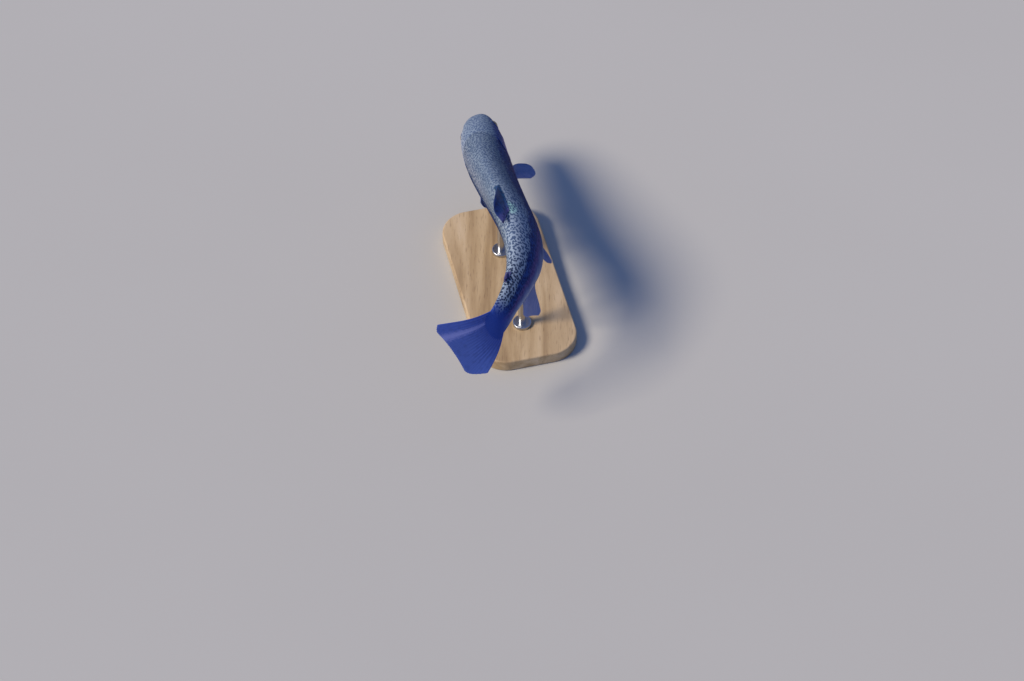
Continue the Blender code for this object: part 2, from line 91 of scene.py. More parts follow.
def smooth(start, end, value):
    """0 before start, 1 after end, and an S-shaped rise between them."""
    t = np.clip((value - start) / (end - start), 0, 1)
    return t * t * (3 - 2 * t)


def curve(xs, ys, x):
    """A smooth curve through the points (xs, ys) that doesn't swing past them."""
    xs, ys = np.asarray(xs, float), np.asarray(ys, float)
    slopes = np.diff(ys) / np.diff(xs)
    before, after = slopes[:-1], slopes[1:]
    total = np.where(before + after == 0, 1, before + after)
    inner = np.where(before * after > 0, 2 * before * after / total, 0)
    tangents = np.concatenate([slopes[:1], inner, slopes[-1:]])
    x = np.clip(x, xs[0], xs[-1])
    i = np.clip(np.searchsorted(xs, x, side="right") - 1, 0, len(xs) - 2)
    step = xs[i + 1] - xs[i]
    t = (x - xs[i]) / step
    near = (1 + 2 * t) * (1 - t) ** 2 * ys[i] + t * (1 - t) ** 2 * step * tangents[i]
    far = t * t * (3 - 2 * t) * ys[i + 1] - t * t * (1 - t) * step * tangents[i + 1]
    return near + far


def body(column, station):
    return curve(BODY[:, 0], BODY[:, column], station)


def half_sizes(station):
    """Back height, belly depth and half width there, in metres."""
    closing = np.sqrt(1 - (1 - np.clip(station / SNOUT_ROUNDING, 0, 1)) ** 2) * LENGTH
    return [body(column, station) * closing for column in (BACK, BELLY, WIDTH)]


def on_section(station, turn):
    """Points of the body: turn 0 is the right side, 90 degrees the back."""
    back, belly, half_width = half_sizes(station)
    cos, sin = np.cos(turn), np.sin(turn)
    fullness = np.where(sin > 0, body(FULL_ABOVE, station), body(FULL_BELOW, station))
    y = half_width * np.sign(cos) * np.abs(cos) ** (2 / fullness)
    z = np.where(sin > 0, back, belly) * np.sign(sin) * np.abs(sin) ** (2 / fullness)
    return np.stack(np.broadcast_arrays(station * LENGTH, y, z), axis=-1)


def half_width_at(station, z):
    """How far the body reaches from its middle plane at height z."""
    back, belly, half_width = half_sizes(station)
    height = np.where(z > 0, back, belly)
    fullness = np.where(z > 0, body(FULL_ABOVE, station), body(FULL_BELOW, station))
    return half_width * np.maximum(0, 1 - np.abs(z / height) ** fullness) ** (1 / fullness)


print("deepest at 0.415:", np.round(np.array(half_sizes(np.array(0.415))) / MM, 1), "mm")

# %% [markdown]
# ## The turn
#
# A swimming trout bends in one smooth line, and it banks into the turn as a plane does. The
# spine is a path whose heading changes along the body, in a plane that leans to the fish's
# left and a little nose down. A curve modifier could bend the mesh, but the bend is needed
# as plain arithmetic, so that scales and fins can be laid by it too.

# %% The spine's path and the function that lays points on it
BANK, DIVE = math.radians(23), math.radians(7)
FIRST_HEADING = 9.0  # degrees
TURNS = ((8.0, 0.08, 0.38), (-43.0, 0.44, 0.85), (-48.0, 0.82, 0.956))  # degrees, from, to
ANCHOR_STATION, ANCHOR = 0.46, (0.004, 0.000, 0.114)

UP = np.array((
    -math.sin(BANK), math.sin(DIVE) * math.cos(BANK), math.cos(DIVE) * math.cos(BANK),
))
RIGHT = np.array((1, 0, 0)) - UP * UP[0]
RIGHT /= np.linalg.norm(RIGHT)
TAILWARD = np.cross(RIGHT, UP)


def heading_at(station):
    turned = sum(turn * smooth(start, end, station) for turn, start, end in TURNS)
    return np.radians(FIRST_HEADING + turned)


SPINE_STATIONS = np.linspace(-0.05, 1.15, 481)
headings = heading_at(SPINE_STATIONS)[:, None]
ways = RIGHT * np.sin(headings) + TAILWARD * np.cos(headings)
step = (SPINE_STATIONS[1] - SPINE_STATIONS[0]) * LENGTH
SPINE = np.vstack([np.zeros(3), np.cumsum((ways[1:] + ways[:-1]) / 2 * step, axis=0)])
SPINE += ANCHOR - np.array([np.interp(ANCHOR_STATION, SPINE_STATIONS, c) for c in SPINE.T])


def lay(points):
    """Moves points of the straight fish to their places in the turning, banked one."""
    station = points[..., 0] / LENGTH
    heading = heading_at(station)[..., None]
    middle = np.stack([np.interp(station, SPINE_STATIONS, c) for c in SPINE.T], axis=-1)
    to_right = RIGHT * np.cos(heading) - TAILWARD * np.sin(heading)
    return middle + to_right * points[..., 1:2] + UP * points[..., 2:3]


print("snout at", np.round(lay(np.array([0.0, 0.0, 0.0])) / MM), "mm")

# %% [markdown]
# ## Small helpers
#
# Blender builds a mesh from three lists: points, faces, and values that each point carries.
# The values matter here. Skin and scales carry their place on the skin laid flat, in
# millimetres (skin_mm), and how far along and up the fish they are (fish_share). Fins carry
# their place on the straight fish (fish_mm) and on their own rays (fin_share), and eyes how
# far a point is from the pupil (eye_share). Materials draw the markings from those, because
# a texture coordinate of the bent fish would stretch the spots where the tail turns.

# %% Mesh, colour and node helpers
ROOT = "root"


def mesh_object(name, points, faces, finish, **values):
    """A smooth-shaded mesh whose points carry these values, riding on the stand's body."""
    mesh = bpy.data.meshes.new(name)
    mesh.from_pydata(points.reshape(-1, 3).tolist(), [], [tuple(face) for face in faces])
    for label, value in values.items():
        kind = "FLOAT_VECTOR" if value.shape[-1] == 3 else "FLOAT"
        slot_name = "vector" if kind == "FLOAT_VECTOR" else "value"
        layer = mesh.attributes.new(label, kind, "POINT")
        layer.data.foreach_set(slot_name, value.astype(np.float32).ravel())
    mesh.shade_smooth()
    mesh.set_sharp_from_angle(angle=math.radians(60))
    mesh.materials.append(finish)
    made = bpy.data.objects.new(name, mesh)
    bpy.context.scene.collection.objects.link(made)
    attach(made, ROOT)
    print(f"{name}: {len(mesh.vertices)} points, {len(mesh.polygons)} faces")
    return made


def colour(hex_code):
    """An sRGB hex colour as the linear red, green, blue and alpha that shaders use."""
    parts = [int(hex_code[i:i + 2], 16) / 255 for i in (1, 3, 5)]
    return (*[c / 12.92 if c <= 0.04045 else ((c + 0.055) / 1.055) ** 2.4 for c in parts], 1)


def new_material(name, **settings):
    """A material and its node tree, with these values set on the main shader's own sockets."""
    made = bpy.data.materials.new(name)
    made.use_nodes = True
    shader = made.node_tree.nodes["Principled BSDF"]
    for socket, value in settings.items():
        shader.inputs[socket.replace("_", " ")].default_value = value
    return made, made.node_tree, shader


def add(tree, kind, inputs=None, out=0, stops=None, **settings):
    """Adds a node and returns its output called or numbered out, or all of them for None.
    inputs gives each socket a value, a hex colour or another node's output."""
    made = tree.nodes.new("ShaderNode" + kind)
    for name, value in settings.items():
        setattr(made, name, value)
    for key, value in (inputs or {}).items():
        if isinstance(value, bpy.types.NodeSocket):
            tree.links.new(value, made.inputs[key])
        else:
            made.inputs[key].default_value = colour(value) if isinstance(value, str) else value
    if stops:
        ramp = made.color_ramp
        while len(ramp.elements) < len(stops):
            ramp.elements.new(1.0)
        for element, (position, hex_code) in zip(ramp.elements, stops):
            element.position, element.color = position, colour(hex_code)
    return made.outputs if out is None else made.outputs[out]


# A Mix node set to colours takes them at its sockets 6 and 7 and gives its result at 2.
MIX_A, MIX_B = 6, 7
OF_COLOURS = {"data_type": "RGBA", "out": 2}
# A Map Range node takes a value, its range (1 to 2) and the range that comes out (3 to 4).
EASED = {"interpolation_type": "SMOOTHSTEP"}  # with soft ends


def overlay(tree, under, over, amount, *windows, **ends):
    """Lays one colour over another by this amount, and less where a window closes. A window
    is a value, where it is still shut and where it is fully open."""
    for value, shut, opened in windows:
        window = add(tree, "MapRange", {0: value, 1: shut, 2: opened}, **ends)
        amount = add(tree, "Math", {0: amount, 1: window}, operation="MULTIPLY")
    return add(tree, "Mix", {0: amount, MIX_A: under, MIX_B: over}, **OF_COLOURS)

# %% [markdown]
# ## The camera and the studio
#
# The view looks down on the fish from behind its tail, as from a bank over clear water. A
# pale floor and soft light keep the attention on the model: one wide lamp on the fish's left
# shapes the back and leaves its right side in soft shade, and a cool sky fills the shade.

# %% Camera
CAMERA_PLACE = (0.0036, -1.7608, 2.0156)
CAMERA_ELEVATION = 50.0  # degrees down
LENS, SENSOR = 90.0, 36.0  # mm
view = bpy.data.cameras.new("studio_camera")
view.lens, view.sensor_width = LENS, SENSOR
camera = bpy.data.objects.new("studio_camera", view)
camera.location = CAMERA_PLACE
camera.rotation_euler = (math.radians(90 - CAMERA_ELEVATION), 0, 0)
bpy.context.scene.collection.objects.link(camera)
bpy.context.scene.camera = camera
print("camera", CAMERA_PLACE)

# %% Light and sky
scene = bpy.context.scene
scene.view_settings.view_transform = "Standard"
SUN_WAY = (-0.70, -0.22, 0.68)  # from the model to the key light: from the left, 43 degrees up
SUN_STRENGTH, SUN_SOFTNESS = 3.9, 20.0  # W/m2, and the width of its disc in degrees
SUN_COLOUR, SKY_COLOUR, SKY_STRENGTH = "#fff4e6", "#82a4f0", 0.56

key = bpy.data.lights.new("key_light", "SUN")
key.energy, key.angle = SUN_STRENGTH, math.radians(SUN_SOFTNESS)
key.color = colour(SUN_COLOUR)[:3]
key_held = bpy.data.objects.new("key_light", key)
key_held.location = SUN_WAY
key_held.rotation_euler = key_held.location.to_track_quat("Z", "Y").to_euler()
scene.collection.objects.link(key_held)

world = bpy.data.worlds.new("studio_sky")
scene.world = world
world.use_nodes = True
sky = world.node_tree.nodes["Background"]
sky.inputs["Color"].default_value = colour(SKY_COLOUR)
sky.inputs["Strength"].default_value = SKY_STRENGTH
print("key light", SUN_STRENGTH, "W/m2")

# %% Floor of warm grey paper, slightly uneven in tone as a long roll of it is
FLOOR_RADIUS, FLOOR_SIDES = 60.0, 64
paper, tree, shader = new_material("studio_paper", Roughness=0.85)
fibres = add(tree, "TexNoise", {"Scale": 180.0, "Detail": 3.0})
tint = add(tree, "Mix", {0: fibres, MIX_A: "#aeaba2", MIX_B: "#b6b3aa"}, **OF_COLOURS)
tree.links.new(tint, shader.inputs["Base Color"])

rim = [2 * math.pi * k / FLOOR_SIDES for k in range(FLOOR_SIDES)]
floor_mesh = bpy.data.meshes.new("studio_floor")
floor_mesh.from_pydata(
    [(FLOOR_RADIUS * math.cos(a), FLOOR_RADIUS * math.sin(a), 0) for a in rim], [],
    [tuple(range(FLOOR_SIDES))],
)
floor_mesh.materials.append(paper)
floor = bpy.data.objects.new("studio_floor", floor_mesh)
scene.collection.objects.link(floor)
print("floor of radius", FLOOR_RADIUS, "m")

# %% [markdown]
# ## The grid of the skin
#
# The skin is one closed net of rings, so no seam shows between head, trunk and tail. The
# rings stand close on the head, where bones and folds need points, and wider on the trunk,
# where scales will cover it. Points are spread evenly round each ring by arc length, since
# equal angles would crowd them on the sides. The rings start and end under the belly.

# %% Stations, turns and the plain form
AROUND = 256
SKIN_DEPTH = 0.45 * MM  # the scales' depth: the skin lies this far inside the solids
TAIL_FLESH_END = 0.905

snout = SNOUT_ROUNDING * (1 - np.cos(np.pi / 2 * np.arange(1, 15) / 14))
STATIONS = np.concatenate([
    snout,
    np.linspace(SNOUT_ROUNDING, 0.215, 172)[1:],
    np.linspace(0.215, STALK_END, 156)[1:],
    np.linspace(STALK_END, TAIL_FLESH_END, 24)[1:],
])


def even_turns(station):
    """Turns from belly to belly that cut this section's outline into equal lengths."""
    quarter = AROUND // 4
    turns = []
    for start in range(4):
        dense = np.pi / 2 * (start - 1 + np.linspace(0, 1, 161))
        line = on_section(min(station, STALK_END), dense)
        run = np.concatenate([[0], np.cumsum(np.linalg.norm(np.diff(line, axis=0), axis=1))])
        turns.append(np.interp(run[-1] * np.arange(quarter) / quarter, run, dense))
    return np.concatenate(turns)


TURN = np.array([even_turns(station) for station in STATIONS])
STATION = np.broadcast_to(STATIONS[:, None], TURN.shape)
FORM = on_section(np.minimum(STATION, STALK_END), TURN)
print("skin grid", FORM.shape[:2])

# %% [markdown]
# ## The tail fin's fan
#
# The tail fin opens from the end of the stalk like a fan, with a shallow fork. Its upper lobe
# is a little longer and its lower lobe trails to the right in this turn. One function gives
# its middle surface, because the flesh over its base, the scales there and the rays all
# follow it.

# %% The middle surface of the tail fin
# Shares of LENGTH, unless a comment says otherwise.
TAIL_ROOT = 0.0345  # half the width where it leaves the stalk
UPPER_SPAN, LOWER_SPAN = 0.094, 0.0965
TAIL_FORK = 0.010
UPPER_ROUNDING, LOWER_ROUNDING = 0.011, 0.045
UPPER_CORNER, LOWER_CORNER = 0.28, 0.42  # share of each lobe, from its edge ray, that is rounded
LOWER_LOBE_SHORT = 0.012
LOWER_CURL, UPPER_CURL = 0.013, 0.006


def tail_end(spread):
    """Where the ray at this spread (-1 lowest, 1 highest) ends, in metres along the fish."""
    rounding = np.where(spread < 0, LOWER_ROUNDING, UPPER_ROUNDING)
    rounded = np.where(spread < 0, LOWER_CORNER, UPPER_CORNER)
    corner = np.maximum(0, 1 - (1 - np.abs(spread)) / rounded) ** 2
    fork = TAIL_FORK * (1 - np.minimum(1, np.abs(spread) / 0.8) ** 1.5)
    return (1 - fork - rounding * corner - LOWER_LOBE_SHORT * np.maximum(0, -spread)) * LENGTH


def tail_middle(u, spread):
    """The fan's middle surface: u runs along a ray."""
    span = np.where(spread < 0, LOWER_SPAN, UPPER_SPAN)
    root_z = spread * TAIL_ROOT * LENGTH
    end_z = np.sign(spread) * np.abs(spread) ** 0.93 * span * LENGTH
    u0 = np.maximum(u, 0)
    x = STALK_END * LENGTH + (tail_end(spread) - STALK_END * LENGTH) * u
    z = root_z + (end_z - root_z) * u0 ** (1.12 - 0.25 * np.abs(spread))
    lean = LOWER_CURL * np.maximum(0, -spread) ** 1.3 - UPPER_CURL * np.maximum(0, spread)
    return np.stack([x, lean * LENGTH * u0**1.8, z], axis=-1)


print("tail fin ends at", np.round(tail_end(np.array((-1.0, 0.0, 1.0))) / MM), "mm")

# %% [markdown]
# Behind the stalk the skin thins over the fan's base, so its rings take the fan's shape. The
# flesh ends in a shallow crescent, a little further back in the middle than at the edges.

# %% Flesh over the fan's base
FLESH_CRESCENT, FLESH_BLEND = 0.016, 0.016  # the crescent's depth, and the blend with the stalk

behind = STATION > STALK_END
spread = np.sin(TURN)
u = (STATION - STALK_END) * LENGTH / (tail_end(spread) - STALK_END * LENGTH)
fan = tail_middle(np.where(behind, u, 0), spread)
flesh_end = smooth(STALK_END, TAIL_FLESH_END - FLESH_CRESCENT * spread**2, STATION)
thin = np.abs(FORM[..., 1]) * (1 - flesh_end) ** 1.3
fan[..., 1] += np.sign(np.cos(TURN)) * thin
joined = smooth(STALK_END, STALK_END + FLESH_BLEND, STATION)
height = FORM[..., 2] * (1 - joined) + fan[..., 2] * joined
fan[..., 2] = np.where(np.abs(fan[..., 2]) > np.abs(height), fan[..., 2], height)
FORM = np.where(behind[..., None], fan, FORM)
print("flesh ends at", TAIL_FLESH_END)

# %% [markdown]
# ## Bones and folds of the head
#
# A trout's head is bare skin over thin bones. Its marks are the mouth's cleft with the
# blade of the upper jaw over it, the socket and its rim, two nostrils on each side, the
# crescent edge in front of the gill cover, and the gill cover's free edge, which runs down
# and forward under the throat. They could be carved with booleans, but each is only a
# millimetre deep, so the skin's points are moved in or out along their normals instead.
# Distances are measured on the side view in millimetres.

# %% Tools for drawing relief
def hump(distance, width):
    """1 on a line and falling off smoothly over this width."""
    return np.exp(-((distance / width) ** 2))


def to_line(x, z, line):
    """The distance to a side-view line, and how far along it the nearest point is."""
    best, where = np.full(x.shape, np.inf), np.zeros(x.shape)
    for i, ((x0, z0), (x1, z1)) in enumerate(zip(line, line[1:])):
        run, rise = x1 - x0, z1 - z0
        t = np.clip(((x - x0) * run + (z - z0) * rise) / (run**2 + rise**2), 0, 1)
        gap = np.hypot(x - x0 - t * run, z - z0 - t * rise)
        where = np.where(gap < best, (i + t) / (len(line) - 1), where)
        best = np.minimum(best, gap)
    return best, where


# Places on the side view, in mm behind the snout's tip and above the middle.
MOUTH = ((-4.0, -1.6), (12.0, -3.2), (24.0, -6.2), (32.8, -8.8))
UPPER_JAW = ((11.0, -1.7), (23.0, -4.1), (35.0, -7.6))
COVER_SEAM = ((54.0, -16.0), (70.0, -15.0), (82.0, -10.5))
CRESCENT_X, CRESCENT_Z, CRESCENT_RADIUS = 38.0, -4.0, 14.6  # the edge before the gill cover

EYE_STATION, EYE_HEIGHT = 0.076, 0.014  # shares of LENGTH
EYE_X, EYE_Z = EYE_STATION * LENGTH / MM, EYE_HEIGHT * LENGTH / MM
NOSTRILS = ((0.037, 40), (0.045, 43))  # station, degrees above the side

# The free edge of the gill cover: degrees from the side (up is positive), and its station.
GILL_EDGE = np.array((
    (-90, 0.112), (-76, 0.134), (-62, 0.160), (-48, 0.182), (-34, 0.198), (-20, 0.208),
    (-6, 0.211), (8, 0.208), (17, 0.200), (24, 0.186), (30, 0.176),
))

X, Z = FORM[..., 0] / MM, FORM[..., 2] / MM
from_side = np.degrees(np.arctan2(np.sin(TURN), np.abs(np.cos(TURN))))
relief = np.zeros(X.shape)
print("relief is drawn on", relief.size, "points")

# %% [markdown]
# In every line of relief below, the first number is how far the skin rises or sinks, and a
# hump's last number is its width, both in mm. A smooth() beside it fades the line out where
# the bone or fold ends.

# %% Mouth and upper jaw
gap, along = to_line(X, Z, MOUTH)
open_part = 1 - smooth(0.93, 1.0, along)
relief += 0.22 * hump(gap - 1.9, 1.0) * open_part
relief -= 1.70 * hump(gap, 0.62) * open_part
gap, along = to_line(X, Z, UPPER_JAW)
blade = gap - (1.0 + 1.5 * along)
relief += 0.42 * (1 - smooth(-0.5, 0.4, blade))
relief -= 0.50 * hump(blade - 0.55, 0.55) * smooth(0.0, 0.25, along)
print("deepest fold so far", round(float(relief.min()), 2), "mm")

# %% Eye socket and nostrils
eye_z = EYE_HEIGHT * LENGTH
eye_y = float(half_width_at(np.array(EYE_STATION), eye_z))
eye_skin = np.array((EYE_STATION * LENGTH, eye_y, eye_z))
right_form = np.abs(FORM) * (1, 1, 0) + FORM * (0, 0, 1)  # both sides, moved to the right
from_eye = np.linalg.norm(right_form - eye_skin, axis=-1) / MM
relief -= 3.2 * (1 - smooth(3.9, 5.0, from_eye))
relief += 0.42 * hump(from_eye - 5.7, 0.8)
relief -= 0.34 * hump(from_eye - 7.3, 0.7)
relief += 0.20 * hump(from_eye - 9.0, 1.2) * smooth(2.0, -4.0, Z)
above = Z > 0
for station, degrees in NOSTRILS:
    place = on_section(np.array(station), np.radians(degrees))
    from_place = np.linalg.norm(np.abs(FORM) - np.abs(place), axis=-1) / MM
    relief += above * (0.30 * hump(from_place - 1.4, 0.6) - 1.1 * hump(from_place, 0.75))
print("eye socket", round(float(from_eye.min()), 2), "mm from its nearest point")

# %% Cheek bones and the pores of the sense canals
from_crescent = np.hypot(X - CRESCENT_X, Z - CRESCENT_Z) - CRESCENT_RADIUS
swing = np.degrees(np.arctan2(Z - CRESCENT_Z, X - CRESCENT_X))
window = smooth(62, 40, swing) * smooth(-108, -84, swing)
relief += window * 0.36 * hump(from_crescent + 1.0, 1.1)
relief -= window * 0.62 * hump(from_crescent - 0.6, 0.6)

# Pores lie in rows under the eye, before the gill cover and on the jaw. An arc of them has a
# middle, a radius, and its first, last and next angle.
pores = [(x, -9.6 - 0.07 * x) for x in np.linspace(9, 34, 6)]
for middle_x, middle_z, radius, *swept in (
    (EYE_X, EYE_Z, 9.6, -160, 30, 24), (CRESCENT_X, CRESCENT_Z, 17.0, -78, 40, 17),
):
    arc = np.radians(np.arange(*swept))
    pores += zip(middle_x + radius * np.cos(arc), middle_z + radius * np.sin(arc))
for pore_x, pore_z in pores:
    relief -= 0.40 * hump(np.hypot(X - pore_x, Z - pore_z), 0.55)

# A row of small bones runs round the back of the eye.
cheek = np.hypot(X - EYE_X, Z - EYE_Z) - 10.8
cheek_window = smooth(75, 40, swing) * smooth(-60, -30, swing)
relief -= 0.16 * hump(cheek, 0.6) * cheek_window
print(len(pores), "pores on each side of the head")

# %% Gill covers and throat
edge = curve(GILL_EDGE[:, 0], GILL_EDGE[:, 1], from_side)
behind_edge = (STATION - edge) * LENGTH / MM
opening = smooth(32, 22, from_side)
step_down = smooth(-0.30, 0.35, behind_edge) * np.exp(-np.maximum(behind_edge, 0) / 2.4)
relief += opening * 0.30 * hump(behind_edge + 1.6, 1.6)
relief -= opening * 1.75 * step_down
gap, along = to_line(X, Z, COVER_SEAM)
relief -= 0.38 * hump(gap, 0.6) * smooth(0.0, 0.1, along)
under = smooth(-44, -54, from_side) * smooth(-89, -84, from_side)
fan_window = under * smooth(0.080, 0.100, STATION) * smooth(-2.0, -5.0, behind_edge)
relief += 0.16 * np.sin(np.radians((from_side + 90) * 48)) * fan_window
# The lower jaw's two arms stand out on each side of the chin's soft middle.
chin = smooth(0.012, 0.03, STATION) * smooth(0.105, 0.085, STATION) * (Z < 0)
chin = chin * smooth(-60, -72, from_side)
relief -= 0.45 * hump(np.abs(FORM[..., 1]) / MM - 3.4, 1.3) * chin
print("gill opening", round(float(relief.min()), 2), "mm")

# %% [markdown]
# The moved points are the skin. Each keeps three facts for the markings: its station, how
# high it lies between belly (-1) and back (1), and how deep in a fold it is, since folds get
# painted shade. The skin's own unwrap is that of a paper sleeve, cut open under the belly.

# %% Displace the form into the skin
def grid_normals(points):
    """Outward unit normals of a net of rings."""
    along = np.gradient(points, axis=0)
    around = np.roll(points, -1, axis=1) - np.roll(points, 1, axis=1)
    normal = np.cross(around, along)
    return normal / np.maximum(np.linalg.norm(normal, axis=-1, keepdims=True), 1e-12)


NORMAL = grid_normals(FORM)
sink = SKIN_DEPTH * (1 - smooth(STALK_END, TAIL_FLESH_END, STATION))
SKIN = FORM + NORMAL * (relief * MM - sink)[..., None]
back, belly, _ = half_sizes(np.minimum(STATION, STALK_END))
rise = np.where(SKIN[..., 2] > 0, SKIN[..., 2] / back, SKIN[..., 2] / belly)
# How much painted shade each point gets, from how deep its fold is.
fold_shade_amount = np.clip(-relief / 1.6 - 0.12, 0, 1)
SHARE = np.stack([STATION, np.clip(rise, -1, 1), fold_shade_amount], axis=-1)
steps_round = np.linalg.norm(np.roll(FORM, -1, axis=1) - FORM, axis=-1)
from_belly = np.cumsum(steps_round, axis=1) - steps_round
from_back = from_belly - from_belly[:, AROUND // 2:AROUND // 2 + 1]
steps_along = np.linalg.norm(np.diff(FORM, axis=0), axis=-1).mean(1)
from_snout = np.concatenate([[0], np.cumsum(steps_along)])[:, None] + 0 * STATION
FLAT = np.stack([from_snout, from_back, 0 * STATION], axis=-1) / MM
print("skin reaches", np.round(np.abs(SKIN).reshape(-1, 3).max(0) / MM, 1), "mm")

# %% [markdown]
# ## Markings
#
# A rainbow trout's back is blue-grey, its sides turn blue and then lilac along the lateral
# line, and its belly is silver. Dark speckles lie over back and sides: fine and close on the
# head, blotchy towards the tail, where they almost join in a net. Real speckles come from
# cells that settle at a regular distance from each other, which is what Voronoi cells do.
# Noise added to the distance from each cell's middle gives the speckles ragged outlines and
# lets them run together. One function draws this for skin and scales, so that a speckle runs
# on across both. Painting on an unwrapped picture would be the other way, but it would give
# scales and skin different colours wherever the two are not quite in line.

# %% Colours and sizes of the markings
# From belly (0) to back (1). The deep blue at 0.55 to 0.66 is partly the trout's own and partly
# painted shade of a side turned from the light.
SIDE_COLOURS = (
    (0.00, "#dadce2"), (0.10, "#c2c6d4"), (0.20, "#8f97b6"), (0.33, "#5a6493"),
    (0.45, "#5f4c82"), (0.55, "#304b84"), (0.660, "#2b4a84"), (0.775, "#74858f"),
    (1.00, "#7e8d9c"),
)
BACK_LINE = 0.45  # height, as a share of the back's, where the pale back turns to a blue side
# The left colour is painted light on the lit side of head and shoulders; the rear silver is the
# back's own.
REAR_SILVER, LEFT_PAINTED_LIGHT = "#9dabb9", "#b4b8c6"
# The green is a painted glint, a highlight on the back by the dorsal fin.
JAW_SILVER, CHEEK_BLUSH, PAINTED_GLINT_GREEN = "#a9afbd", "#a58b9e", "#a6d8c8"
FRONT_MARK, REAR_MARK, SIDE_MARK = "#435777", "#242f49", "#1a2a5a"
# The fold colour is painted shade for the skin's folds.
TAIL_BLUE, LINE_DARK, PAINTED_FOLD_SHADE = "#364f9d", "#171d38", "#141a2b"

PORE_PITCH = 1.9  # mm between the pores of the lateral line
# On the front and the rear: mm between dark marks, how ragged they are, and how large.
MARKS = ((2.6, 0.95, 0.895), (2.8, 0.65, 0.745))
# Where the painted green glint lies: its station, and mm round the back.
PAINTED_GLINT_STATION, PAINTED_GLINT_SIDE = 0.542, -4.5  # mm round the back, towards the right
PAINTED_GLINT_AT = (float(np.interp(PAINTED_GLINT_STATION, STATIONS, from_snout[:, 0])) / MM, PAINTED_GLINT_SIDE, 0.0)
print("marks every", [spacing for spacing, _, _ in MARKS], "mm, gleam at", np.round(PAINTED_GLINT_AT))


